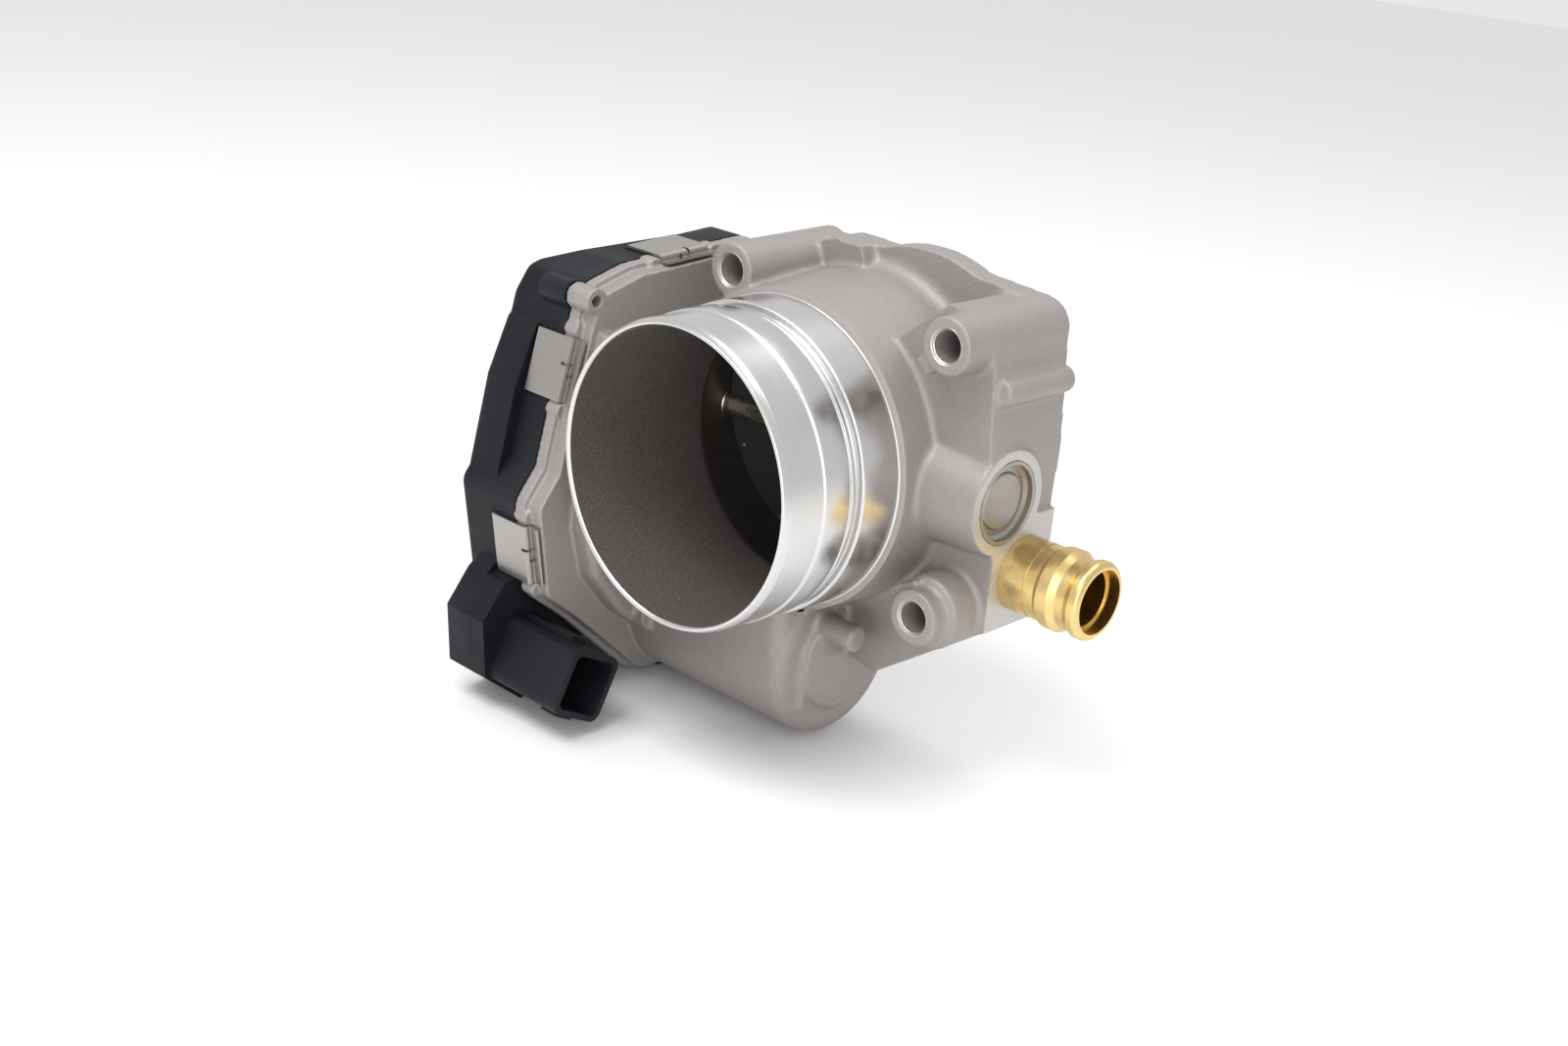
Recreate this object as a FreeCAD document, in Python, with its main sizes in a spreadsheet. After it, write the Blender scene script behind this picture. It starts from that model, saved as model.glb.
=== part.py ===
"""Electronic throttle body: cast housing, gear train, motor, plate and clipped cover.

Frame: the origin is the centre of the bore on the rear mounting face. +Y leaves the
rear face, so the inlet mouth is at -Y. +Z is up, with the drive motor below the bore.
The hose nipple is on the +X side and the gear case on the -X side. Millimetres.
"""
import FreeCAD, Part
import math
import os
import re

import Sketcher

Vector = FreeCAD.Vector
Rotation = FreeCAD.Rotation
Placement = FreeCAD.Placement

SIZES = [
    # throat, revolved about Y
    ("bore_radius", 41.0, "machined throttle bore"),
    ("mouth_radius", 42.5, "inside of the inlet lip"),
    ("step_radius", 41.25, "end of the rough throat"),
    ("step_y", -37.3, "where the rough throat meets the machined bore"),
    ("rim_radius", 43.9, "outside of the inlet lip"),
    ("band_radius", 44.8, "hose seat behind the lip"),
    ("bead_radius", 45.5, "hose bead"),
    ("groove_radius", 44.0, "bottom of the clamp groove"),
    ("ridge_radius", 44.6, "ridge in the clamp groove"),
    ("collar_radius", 46.2, "machined collar"),
    ("tube_front_radius", 48.0, "cast tube behind the collar"),
    ("tube_rear_radius", 51.0, "cast tube at the rear flange"),
    ("throat_length", 90.0, "inlet lip to rear face"),
    ("flange_thickness", 8.0, "rear flange"),
    ("flange_fillet", 5.0, "tube to flange"),
    # bolt bosses, parallel to Y
    ("bolt_hole_radius", 4.5, "clearance hole for M8"),
    ("boss_radius", 8.2, "bolt boss"),
    ("boss_front_y", -44.4, "front face of the bolt bosses"),
    ("top_bolt_x", -26.5, ""),
    ("top_bolt_z", 48.1, ""),
    ("side_bolt_x", 55.9, ""),
    ("side_bolt_z", 45.4, ""),
    ("low_bolt_x", 54.9, ""),
    ("low_bolt_z", -34.4, ""),
    # throttle shaft, parallel to X
    ("shaft_radius", 4.0, "throttle shaft"),
    ("shaft_y", -23.5, "shaft axis"),
    ("running_gap", 0.05, "radial clearance of a running fit"),
    ("plate_thickness", 2.4, "throttle plate"),
    ("screw_radius", 1.5, "plate screws"),
    ("closed_tilt", 4.0, "plate angle when closed, degrees"),
    ("rest_tilt", 9.0, "plate angle at rest, degrees"),
    ("side_face_x", 68.0, "machined face round plug and nipple"),
    ("plug_boss_radius", 15.8, "boss round the shaft's right end"),
    ("plug_radius", 12.3, "core plug"),
    # hose nipple, parallel to X
    ("nipple_y", -12.6, "nipple axis"),
    ("nipple_z", -23.2, "nipple axis"),
    ("nipple_boss_radius", 14.2, "boss under the nipple"),
    ("nipple_tube_radius", 11.3, "outside of the nipple"),
    ("nipple_bore_radius", 8.6, "inside of the nipple"),
    ("nipple_tip_x", 95.5, "end of the nipple"),
    ("nipple_spigot_radius", 9.6, "spigot's seat in the casting"),
    ("nipple_spigot_length", 6.5, "spigot in the casting"),
    ("nipple_port_radius", 5.2, "drilling from the spigot to the bore"),
    # motor, parallel to X
    ("motor_y", -28.5, "motor axis"),
    ("motor_z", -64.5, "motor axis"),
    ("motor_case_radius", 26.3, "cast motor case"),
    ("motor_case_end_x", 16.0, "closed end of the motor case"),
    ("motor_can_radius", 19.8, "steel motor can"),
    ("can_wall", 1.3, "motor can sheet"),
    ("motor_shaft_radius", 1.6, "motor shaft"),
    ("motor_screw_offset", 25.0, "motor screws to the motor's axis"),
    ("terminal_offset", 7.6, "terminals to the motor's middle plane"),
    ("end_plate_thickness", 1.4, ""),
    # gear case
    ("seam_x", -60.0, "cover joint"),
    ("floor_x", -53.0, "floor of the gear chamber"),
    ("tray_back_x", -50.5, "back of the housing's gear tray"),
    ("cover_outer_x", -88.0, "outer face of the cover"),
    ("lobe_outer_x", -82.0, "outer face of the connector's lobe"),
    ("cover_roof_x", -85.5, "inside of the cover"),
    ("bevel_x", -72.5, "where the top of the cover starts to slope"),
    ("bevel_z", 47.0, "height of the cover there"),
    ("case_margin", 6.0, "outline to the tray's rim and the outside of the cover"),
    ("tray_margin", 4.2, "outline to the tray's wall behind its rim"),
    ("chamber_margin", 1.6, "outline to the inside of the tray"),
    ("cover_margin", 3.2, "outline to the inside of the cover"),
    ("rim_back_x", -56.0, "back of the tray's rim"),
    ("board_x", -77.0, "back of the sensor board"),
    ("gasket_thickness", 0.5, "cover gasket"),
    # gears
    ("sector_module", 1.0, ""),
    ("sector_teeth", 56, "teeth of the full circle"),
    ("idler_small_teeth", 16, ""),
    ("wheel_module", 0.8, ""),
    ("wheel_teeth", 70, ""),
    ("pinion_teeth", 15, ""),
    ("pressure_angle", 25.0, "degrees"),
    ("backlash", 0.14, "at the pitch circle"),
    ("idler_pin_radius", 2.5, ""),
    ("sector_width", 6.0, "face width of the sector"),
    ("stop_arm", 23.0, "stop screw's contact to the shaft"),
    ("open_travel", 75.0, "opening from rest, degrees"),
    ("close_travel", 5.0, "closing from rest, degrees"),
    # connector on the cover
    ("plug_socket_y", -88.3, "socket centre"),
    ("plug_socket_z", -76.5, "socket centre"),
    ("plug_socket_width", 20.0, ""),
    ("plug_socket_height", 21.0, ""),
    ("plug_socket_wall", 1.9, ""),
    ("plug_socket_turn", -26.0, "degrees about X"),
    ("plug_socket_mouth_x", -31.0, "open end"),
    # spring clips
    ("clip_sheet", 0.8, "clip sheet"),
    ("clip_width", 19.5, "clip width along the seam"),
    ("clip_hook_x", -71.0, "hook on the cover side"),
    ("peg_y", -74.4, "locating peg of the cover"),
    ("peg_z", 36.6, "locating peg of the cover"),
    ("clip_bend_x", -55.1, "bend behind the tray's rim"),
]

doc = FreeCAD.newDocument("throttle_body")
sheet = doc.addObject("Spreadsheet::Sheet", "Sizes")
PARTS = []


def fill_sheet():
    """Write the driving dimensions: alias, number and meaning on one row each."""
    for row, (alias, number, meaning) in enumerate(SIZES, start=1):
        sheet.set("A%d" % row, alias)
        sheet.set("B%d" % row, str(number))
        sheet.set("C%d" % row, meaning)
        sheet.setAlias("B%d" % row, alias)
    doc.recompute()


def bound(text):
    """The expression with every alias pointed at the sheet; function names stay."""
    return re.sub(r"\b[a-z][a-z_]*\b(?!\()", r"Sizes.\g<0>", str(text))


def size(text):
    """Present value of an expression over the sheet's aliases."""
    return float(sheet.evalExpression(bound(text)))


# ---------------------------------------------------------------- building blocks

FACING = {
    "X": Rotation(Vector(0, 1, 0), 90),
    "Y": Rotation(Vector(1, 0, 0), -90),
    "Z": Rotation(),
}
PLANE = {
    "YZ": Rotation(Vector(1, 1, 1), 120),
    "XZ": Rotation(Vector(1, 0, 0), 90),
    "XY": Rotation(),
}


def locate(item, base, turn):
    """Turn an object and bind its base point to the sheet."""
    item.Placement = Placement(Vector(), turn)
    for axis, text in zip("xyz", base):
        item.setExpression("Placement.Base." + axis, bound(text))
    return item


def cylinder(name, axis, radius, length, base):
    """Cylinder from base along +axis."""
    item = doc.addObject("Part::Cylinder", name)
    item.setExpression("Radius", bound(radius))
    item.setExpression("Height", bound(length))
    return locate(item, base, FACING[axis])


def cone(name, axis, first, last, length, base):
    """Cone frustum from base along +axis."""
    item = doc.addObject("Part::Cone", name)
    item.setExpression("Radius1", bound(first))
    item.setExpression("Radius2", bound(last))
    item.setExpression("Height", bound(length))
    return locate(item, base, FACING[axis])


def box(name, low, spans, turn=0.0, about=None):
    """Box from its low corner; turn is in degrees about X through the point about (y, z)."""
    item = doc.addObject("Part::Box", name)
    for side, text in zip(("Length", "Width", "Height"), spans):
        item.setExpression(side, bound(text))
    if not turn:
        return locate(item, low, Rotation())
    centre = Vector(0, size(about[0]), size(about[1]))
    shift = Placement(Vector(*[size(text) for text in low]), Rotation())
    item.Placement = Placement(Vector(), Rotation(Vector(1, 0, 0), turn), centre).multiply(shift)
    return item


def fuse(name, items):
    item = doc.addObject("Part::MultiFuse", name)
    item.Shapes = items
    return item


def cut(name, base, tools):
    """Base less one or more tools."""
    item = doc.addObject("Part::Cut", name)
    item.Base = base
    item.Tool = tools[0] if len(tools) == 1 else fuse(name + "_tools", tools)
    return item


def group(name, items):
    """Identical pieces kept as separate solids of one node."""
    item = doc.addObject("Part::Compound", name)
    item.Links = items
    return item


def ring(name, axis, outer, inner, length, base):
    """Plain ring or bush."""
    body = cylinder(name + "_outside", axis, outer, length, base)
    hole = cylinder(name + "_inside", axis, inner, length, base)
    return cut(name, body, [hole])


def short_arc(start, stop, radius, side):
    """Short arc from start to stop with its centre to the left (1) or right (-1)."""
    along = stop - start
    left = Vector(-along.y, along.x, 0).normalize()
    rise = math.sqrt(radius ** 2 - (along.Length / 2) ** 2)
    centre = (start + stop) * 0.5 + left * (side * rise)
    first, last = (start, stop) if side > 0 else (stop, start)
    angles = [math.atan2(point.y - centre.y, point.x - centre.x) for point in (first, last)]
    return Part.ArcOfCircle(Part.Circle(centre, Vector(0, 0, 1), radius), *angles)


def bind(sketch, constraint, text):
    """Add a dimension and drive it from the sheet."""
    index = sketch.addConstraint(constraint)
    sketch.setExpression("Constraints[%d]" % index, bound(text))


def draw(sketch, points, arcs=None):
    """Closed outline through points (u, v); arcs maps a side to (radius, centre side)."""
    arcs = arcs or {}
    corners = [Vector(size(u), size(v), 0) for u, v in points]
    ends = []
    for index, start in enumerate(corners):
        stop = corners[(index + 1) % len(corners)]
        radius, side = arcs.get(index, (None, 1))
        if radius is None:
            sketch.addGeometry(Part.LineSegment(start, stop), False)
        else:
            sketch.addGeometry(short_arc(start, stop, size(radius), side), False)
        ends.append((1, 2) if side > 0 else (2, 1))
    for index in range(len(corners)):
        following = (index + 1) % len(corners)
        join = (index, ends[index][1], following, ends[following][0])
        sketch.addConstraint(Sketcher.Constraint("Coincident", *join))
    for index, (u, v) in enumerate(points):
        here = (-1, 1, index, ends[index][0])
        bind(sketch, Sketcher.Constraint("DistanceX", *here, corners[index].x), u)
        bind(sketch, Sketcher.Constraint("DistanceY", *here, corners[index].y), v)
    for index, (radius, side) in arcs.items():
        bind(sketch, Sketcher.Constraint("Radius", index, size(radius)), radius)


def free_sketch(name, plane, start, points, arcs=None):
    """Sketch on a plane parallel to a main plane, moved to start along its normal."""
    sketch = doc.addObject("Sketcher::SketchObject", name + "_outline")
    draw(sketch, points, arcs)
    base = {"YZ": (start, 0, 0), "XZ": (0, start, 0), "XY": (0, 0, start)}[plane]
    return locate(sketch, base, PLANE[plane])


def extrude(name, source, length):
    """Extrude a sketch along its normal: +X for YZ, -Y for XZ, +Z for XY."""
    item = doc.addObject("Part::Extrusion", name)
    item.Base = source
    item.DirMode = "Normal"
    item.setExpression("LengthFwd", bound(length))
    item.Solid = True
    return item


def prism(name, plane, start, length, points, arcs=None):
    return extrude(name, free_sketch(name, plane, start, points, arcs), length)


def revolve(name, points, arcs=None):
    """Solid of revolution about Y from an outline of (radius, y)."""
    item = doc.addObject("Part::Revolution", name)
    item.Source = free_sketch(name, "XY", 0, points, arcs)
    item.Axis = Vector(0, 1, 0)
    item.Angle = 360
    item.Solid = True
    return item


def turned_body(name, points, base, arcs=None):
    """PartDesign body turned about its own Y axis, laid along +X of the model."""
    body = doc.addObject("PartDesign::Body", name)
    sketch = body.newObject("Sketcher::SketchObject", name + "_section")
    plane = [item for item in body.Origin.OriginFeatures if item.Role == "XY_Plane"][0]
    sketch.AttachmentSupport = [(plane, "")]
    sketch.MapMode = "FlatFace"
    draw(sketch, points, arcs)
    turned = body.newObject("PartDesign::Revolution", name + "_turned")
    turned.Profile = sketch
    turned.ReferenceAxis = (sketch, ["V_Axis"])
    turned.Angle = 360
    return locate(body, base, Rotation(Vector(0, 0, 1), -90))


def rounded(name, base, radius, chosen):
    """Fillet the edges of base that chosen(edge) picks."""
    doc.recompute()
    item = doc.addObject("Part::Fillet", name)
    item.Base = base
    picked = [index for index, edge in enumerate(base.Shape.Edges, 1) if chosen(edge)]
    item.Edges = [(index, size(radius), size(radius)) for index in picked]
    return item


def solid_feature(name, shape, base=(0, 0, 0), turn=Rotation()):
    """Part::Feature for a shape that only a formula gives."""
    item = doc.addObject("Part::Feature", name)
    item.Shape = shape
    return locate(item, base, turn)


def about_shaft(item, degrees):
    """Turn a throttle piece about the shaft axis."""
    centre = Vector(0, size("shaft_y"), 0)
    item.Placement = Placement(Vector(), Rotation(Vector(1, 0, 0), degrees), centre)
    return item


def keep(item, label):
    """Hand a finished piece over for export under its node name."""
    item.Label = label
    PARTS.append(item)
    return item


# ---------------------------------------------------------------- outlines in the Y-Z plane

CASE_CORE = [
    ("-56", "38.4"), ("-67.5", "35.0"), ("-70.8", "30"), ("-77.8", "2"), ("-82.0", "-17"), ("-88.6", "-26"),
    ("-84.4", "-52"), ("-72.5", "-61.5"), ("-46", "-85"), ("-12", "-85"), ("1", "-72"), ("1", "34"),
    ("-8", "42"),
]
INNER_CASE = [
    ("-30", "27"), ("-60", "26"), ("-73", "27"), ("-78", "8"), ("-80", "-20"), ("-80.5", "-33"),
    ("-76", "-49"), ("-65", "-63"), ("-43", "-79"), ("-14", "-79"), ("-4", "-60"), ("-4", "27"),
]
COVER_SHOULDER = [
    ("-72", "33"), ("-79", "25"), ("-86.2", "7.8"), ("-90.6", "-13"),
    ("-92.5", "-22"), ("-75", "-22"), ("-62", "20"),
]
SOCKET_LOBE = [
    ("-86", "-44"), ("-95.5", "-52"), ("-103.5", "-63"), ("-102", "-82"), ("-87.5", "-93"), ("-68", "-84"),
    ("-58", "-70"),
]
# clips: outline point in (y, z) under the clip's middle, and its outward direction in degrees
CLIPS = [
    (-35.5, 46.0, 94.3), (-80.66, 15.4, 166.0), (-92.3, -41.0, 189.2),
    (-30.0, -91.0, -90.0), (7.0, -20.0, 0.0),
]


def case_layer(name, margin, start, length):
    """Slab in the shape of the gear case, its outline grown by margin with round corners."""
    core = free_sketch(name, "YZ", start, CASE_CORE)
    grown = doc.addObject("Part::Offset2D", name + "_grown")
    grown.Source = core
    grown.setExpression("Value", bound(margin))
    grown.Join = "Arc"
    return extrude(name, grown, length)


# ---------------------------------------------------------------- housing casting

def throat_outside():
    """Lip, hose band, bead, clamp groove, collar and the drafted cast tube."""
    return revolve("throat_outside", [
        ("0", "-throat_length"),
        ("rim_radius", "-throat_length"),
        ("band_radius", "2.3 - throat_length"),
        ("band_radius", "14.6 - throat_length"),
        ("bead_radius", "15.3 - throat_length"),
        ("bead_radius", "24.6 - throat_length"),
        ("bead_radius - 0.6", "25.2 - throat_length"),
        ("groove_radius", "25.2 - throat_length"),
        ("groove_radius", "26.4 - throat_length"),
        ("ridge_radius", "26.7 - throat_length"),
        ("ridge_radius", "27.9 - throat_length"),
        ("groove_radius", "28.2 - throat_length"),
        ("groove_radius", "29.4 - throat_length"),
        ("collar_radius - 0.5", "29.4 - throat_length"),
        ("collar_radius", "29.9 - throat_length"),
        ("collar_radius", "44.1 - throat_length"),
        ("tube_front_radius", "45.0 - throat_length"),
        ("tube_rear_radius", "-flange_thickness - flange_fillet"),
        ("tube_rear_radius + flange_fillet", "-flange_thickness"),
        ("tube_rear_radius + flange_fillet", "0"),
        ("0", "0"),
    ], {17: ("flange_fillet", -1)})


def throat_bore():
    """Air passage: rough tapered throat, then the machined bore."""
    return revolve("throat_bore", [
        ("0", "-throat_length - 1"),
        ("mouth_radius + 0.5", "-throat_length - 1"),
        ("mouth_radius + 0.5", "-throat_length"),
        ("mouth_radius", "0.7 - throat_length"),
        ("step_radius", "step_y"),
        ("bore_radius", "step_y + 0.6"),
        ("bore_radius", "1"),
        ("0", "1"),
    ])


def rear_flange():
    """Mounting flange behind the tube; the right side is a deep block."""
    plate = prism("flange_plate", "XZ", "0", "flange_thickness", [
        ("-49", "-48"), ("-49", "34"), ("-35", "51"), ("-31", "55.8"), ("-19", "56.2"), ("-14", "57.8"),
        ("1.3", "57.3"), ("35.5", "56.1"), ("56", "54.6"), ("64.6", "46"), ("67.3", "12"), ("65.6", "-30"),
        ("61.2", "-43.4"), ("28", "-66"), ("0", "-60"), ("-30", "-60"),
    ], {6: ("47", -1), 8: ("9.4", -1), 11: ("12.5", -1)})
    block = prism("side_block", "XZ", "0", "33", [
        ("30", "40"), ("46.5", "53.6"), ("56", "54"), ("64.2", "46"), ("67.2", "12"), ("66.2", "-10"),
        ("40", "-10"),
    ], {2: ("9.0", -1)})
    low = prism("nipple_block", "XZ", "0", "27.5", [
        ("38", "-6"), ("side_face_x", "-6"), ("side_face_x", "-39"), ("62", "-42"), ("40", "-38"),
    ])
    web = prism("low_web", "XZ", "-3", "25", [
        ("61.2", "-43.4"), ("30", "-65.3"), ("12", "-62"), ("12", "-46"), ("48", "-24"), ("62", "-30"),
    ])
    pad = prism("flange_pad", "XZ", "0", "14", [
        ("-18.5", "50"), ("-18.5", "56"), ("-13.5", "57.6"), ("-3", "57"), ("0", "50"),
    ])
    return [plate, block, low, web, pad]


def bolt_bosses():
    """Long round bosses with flat front faces, a step round the lower one, and two cast nibs."""
    bosses = []
    for name in ("top_bolt", "side_bolt", "low_bolt"):
        base = (name + "_x", "boss_front_y", name + "_z")
        bosses.append(cone(name + "_boss", "Y", "boss_radius", "boss_radius + 0.9", "-boss_front_y", base))
    step = cone("low_bolt_step", "Y", "11", "11.4", "38.5", ("low_bolt_x", "-38.5", "low_bolt_z"))
    soft = rounded("low_bolt_step_soft", step, "1.6", lambda edge: edge.BoundBox.YMax < -38)
    side_nib = prism("side_bolt_nib", "XZ", "-30", "11.5", [
        ("44.2", "38.8"), ("47.8", "34.8"), ("51.5", "37.5"), ("47.5", "41.5"),
    ])
    low_nib = prism("low_bolt_nib", "XZ", "-26", "14.5", [
        ("44", "-29"), ("51.8", "-24.8"), ("53", "-27"), ("45.2", "-31.2"),
    ])
    return bosses + [soft, side_nib, low_nib]


def side_bosses():
    """Bosses for the shaft's right end and the nipple, joined in one machined face."""
    drafted = cone("plug_boss", "X", "plug_boss_radius + 1.6", "plug_boss_radius", "side_face_x - 36",
                   ("36", "shaft_y", "0"))
    nipple = cylinder("nipple_boss", "X", "nipple_boss_radius", "side_face_x - 40",
                      ("40", "nipple_y", "nipple_z"))
    behind = box("behind_face", ("30", "0", "-60"), ("60", "30", "100"))
    trimmed = cut("nipple_boss_trimmed", nipple, [behind])
    rod = cylinder("side_rod", "Y", "4", "30.5", ("66", "-31.3", "32.8"))
    soft_rod = rounded("side_rod_soft", rod, "1.2",
                       lambda edge: edge.Length > 20 and edge.BoundBox.YLength < 1)
    return [drafted, trimmed, soft_rod]


def motor_case():
    """Round case with a stepped end, and the skirt that joins it to the throat."""
    length = "motor_case_end_x - tray_back_x + 0.3"
    case = cylinder("motor_case_round", "X", "motor_case_radius", length,
                    ("tray_back_x - 0.3", "motor_y", "motor_z"))
    soft = rounded("motor_case_soft", case, "4.5", lambda edge: edge.BoundBox.XMin > 10)
    disc = cylinder("motor_case_disc", "X", "16.8", "3.2", ("motor_case_end_x - 0.6", "motor_y", "motor_z"))
    soft_disc = rounded("motor_case_disc_soft", disc, "1.4", lambda edge: edge.BoundBox.XMin > 17)
    skirt = prism("motor_skirt", "YZ", "tray_back_x - 2", "motor_case_end_x - tray_back_x + 0.5", [
        ("motor_y - motor_case_radius", "motor_z + 1"), ("motor_y - motor_case_radius + 1", "-38"),
        ("-4", "-36"), ("motor_y + motor_case_radius - 0.5", "motor_z + 1"),
    ])
    soft_skirt = rounded("motor_skirt_soft", skirt, "4.0", lambda edge: edge.BoundBox.XMin > 10
                         and edge.BoundBox.YMax < -50)
    stub = cylinder("case_stub", "X", "4.2", "22", ("8", "-36.5", "-52.5"))
    soft_stub = rounded("case_stub_soft", stub, "1.2", lambda edge: edge.BoundBox.XMin > 29)
    fin = box("case_fin", ("motor_case_end_x - 2", "motor_y - 17", "motor_z - 14"), ("3.8", "1.6", "12"))
    ears = []
    for index, side in enumerate((-1, 1)):
        ears.append(cylinder("screw_boss_%d" % index, "X", "5.4", "13",
                             ("tray_back_x - 2", "motor_y + %d * motor_screw_offset" % side, "motor_z")))
    return [soft, soft_disc, soft_skirt, soft_stub, fin] + ears


def gear_tray():
    """Tray that carries the gear train, with the lugs that guard the clips."""
    depth = "tray_back_x - seam_x"
    rim = case_layer("tray_rim", "case_margin", "seam_x", "rim_back_x - seam_x")
    wall = case_layer("tray_wall", "tray_margin", "rim_back_x - 1", "tray_back_x - rim_back_x + 1")
    inner = prism("tray_back", "YZ", "tray_back_x - 1", "8.5", INNER_CASE)
    soft = rounded("tray_back_soft", inner, "2.5", lambda edge: edge.BoundBox.XMin > -43.5)
    parts = [rim, wall, soft]
    for index, (y, z, angle) in enumerate(CLIPS):
        outward = math.radians(angle)
        along = Vector(-math.sin(outward), math.cos(outward))
        for side in (-1, 1):
            reach = side * (size("clip_width") / 2 + 2.6)
            spot = Vector(y, z) + along * reach - Vector(math.cos(outward), math.sin(outward)) * 1.4
            parts.append(cylinder("clip_lug_%d_%d" % (index, side + 1), "X", "2.3",
                                  "rim_back_x - seam_x + 1.5",
                                  ("seam_x", "%.2f" % spot.x, "%.2f" % spot.y)))
    parts.append(cylinder("peg_lug", "X", "4.0", depth, ("seam_x", "peg_y", "peg_z")))
    parts.append(prism("upper_shelf", "YZ", "tray_back_x - 1", "13", [
        ("-71", "19"), ("-72", "24.5"), ("-6", "33"), ("-6", "10"), ("-40", "8"),
    ]))
    return parts


def idler_spot():
    """Idler axis (y, z): in mesh with both the shaft's sector and the motor pinion."""
    to_shaft = size("sector_module * (sector_teeth + idler_small_teeth) / 2")
    to_motor = size("wheel_module * (wheel_teeth + pinion_teeth) / 2")
    shaft = Vector(size("shaft_y"), 0)
    motor = Vector(size("motor_y"), size("motor_z"))
    between = motor - shaft
    span = between.Length
    cosine = (to_shaft ** 2 + span ** 2 - to_motor ** 2) / (2 * to_shaft * span)
    angle = math.atan2(between.y, between.x) - math.acos(cosine)
    return shaft + Vector(math.cos(angle), math.sin(angle)) * to_shaft


def round_hollows():
    """Bore, shaft hole, bearing and seal seats, nipple and motor bores."""
    shaft = ("shaft_y", "0")
    nipple = ("nipple_y", "nipple_z")
    return [
        throat_bore(),
        case_layer("gear_chamber", "chamber_margin", "seam_x - 1", "floor_x - seam_x + 1"),
        cylinder("shaft_hole", "X", "shaft_radius + 0.4", "150", ("-80",) + shaft),
        cylinder("left_bearing_seat", "X", "8", "5.4", ("floor_x - 0.1",) + shaft),
        cylinder("left_seal_seat", "X", "7", "9", ("floor_x - 0.1",) + shaft),
        cylinder("right_seal_and_bearing_seat", "X", "7", "30", ("46",) + shaft),
        cylinder("plug_seat", "X", "plug_radius", "10", ("side_face_x - 4",) + shaft),
        cylinder("nipple_seat", "X", "nipple_spigot_radius", "20",
                 ("side_face_x - nipple_spigot_length - 0.5",) + nipple),
        cylinder("nipple_port", "X", "nipple_port_radius", "40", ("30", "nipple_y - 1", "nipple_z")),
        cylinder("motor_bore", "X", "motor_can_radius + 0.3", "motor_case_end_x - 3 - floor_x + 1",
                 ("floor_x - 1", "motor_y", "motor_z")),
        cylinder("peg_hole", "X", "1.7", "20", ("seam_x - 1", "peg_y", "peg_z")),
        ring("seal_groove", "Y", "48.4", "44.6", "4", ("0", "-2.4", "0")),
    ]


def screw_hollows():
    """Clearance holes with chamfers for the bolts, and the motor's two screw holes."""
    hollows = []
    for name in ("top_bolt", "side_bolt", "low_bolt"):
        spot = (name + "_x", "boss_front_y - 1", name + "_z")
        hollows.append(cylinder(name + "_hole", "Y", "bolt_hole_radius", "60", spot))
        front = (name + "_x", "boss_front_y - 0.1", name + "_z")
        hollows.append(cone(name + "_chamfer", "Y", "bolt_hole_radius + 0.8", "bolt_hole_radius",
                            "0.8", front))
    for index, side in enumerate((-1, 1)):
        spot = ("floor_x - 1", "motor_y + %d * motor_screw_offset" % side, "motor_z")
        hollows.append(cylinder("motor_screw_hole_%d" % index, "X", "2.0", "13", spot))
    return hollows


def stop_post():
    """Drilled post in the gear tray that holds the stop screw."""
    tip, along = stop_direction()
    lean = math.degrees(math.atan2(along.y, along.x)) - 90
    corner = ("floor_x - 15", "%.3f" % (tip.x - 4), "%.3f" % (tip.y + 3))
    post = box("stop_post", corner, ("17", "8", "8"), lean, ("%.3f" % tip.x, "%.3f" % tip.y))
    return cut("stop_post_drilled", post, [stop_cylinder("stop_hole", 2.05, 30, -5)])


def housing():
    """The whole casting, machined."""
    solids = [throat_outside()] + rear_flange() + bolt_bosses() + side_bosses() + motor_case() + gear_tray()
    rough = cut("rough_housing", fuse("casting", solids), round_hollows() + screw_hollows())
    idler = idler_spot()
    at = ("%.4f" % idler.x, "%.4f" % idler.y)
    pin_boss = ring("pin_boss", "X", "5.2", "idler_pin_radius", "6", ("floor_x - 5",) + at)
    filled = fuse("housing_solid", [rough, pin_boss, stop_post()])
    pin_hole = cylinder("pin_hole", "X", "idler_pin_radius", "16", ("floor_x - 8",) + at)
    return keep(cut("housing_drilled", filled, [pin_hole]), "housing")


def sector_span():
    """Angles of the sector's two radial edges and of its first tooth, at rest, in radians."""
    idler = idler_spot()
    towards = math.atan2(idler.y, idler.x - size("shaft_y"))
    pitch = 2 * math.pi / size("sector_teeth")
    first_tooth = towards - math.radians(size("open_travel")) - pitch
    last_tooth = towards + math.radians(size("close_travel")) + pitch
    count = int(round((last_tooth - first_tooth) / pitch)) + 1
    return first_tooth, count, pitch


def stop_direction():
    """Where the closed sector's edge meets the stop screw (y, z) and the screw's direction."""
    first_tooth, count, pitch = sector_span()
    edge = first_tooth - 0.45 * pitch - math.radians(size("close_travel"))
    spot = Vector(size("shaft_y") + size("stop_arm") * math.cos(edge), size("stop_arm") * math.sin(edge))
    return spot, Vector(math.sin(edge), -math.cos(edge))


def stop_cylinder(name, radius, length, offset):
    """Cylinder along the stop screw's axis, starting offset from its tip."""
    tip, along = stop_direction()
    start = tip + along * offset
    item = doc.addObject("Part::Cylinder", name)
    item.Radius = radius
    item.Height = length
    turn = Rotation(Vector(0, 0, 1), Vector(0, along.x, along.y))
    item.Placement = Placement(Vector(size("floor_x") - 11, start.x, start.y), turn)
    return item


# ---------------------------------------------------------------- fixed pieces on the right side

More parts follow.
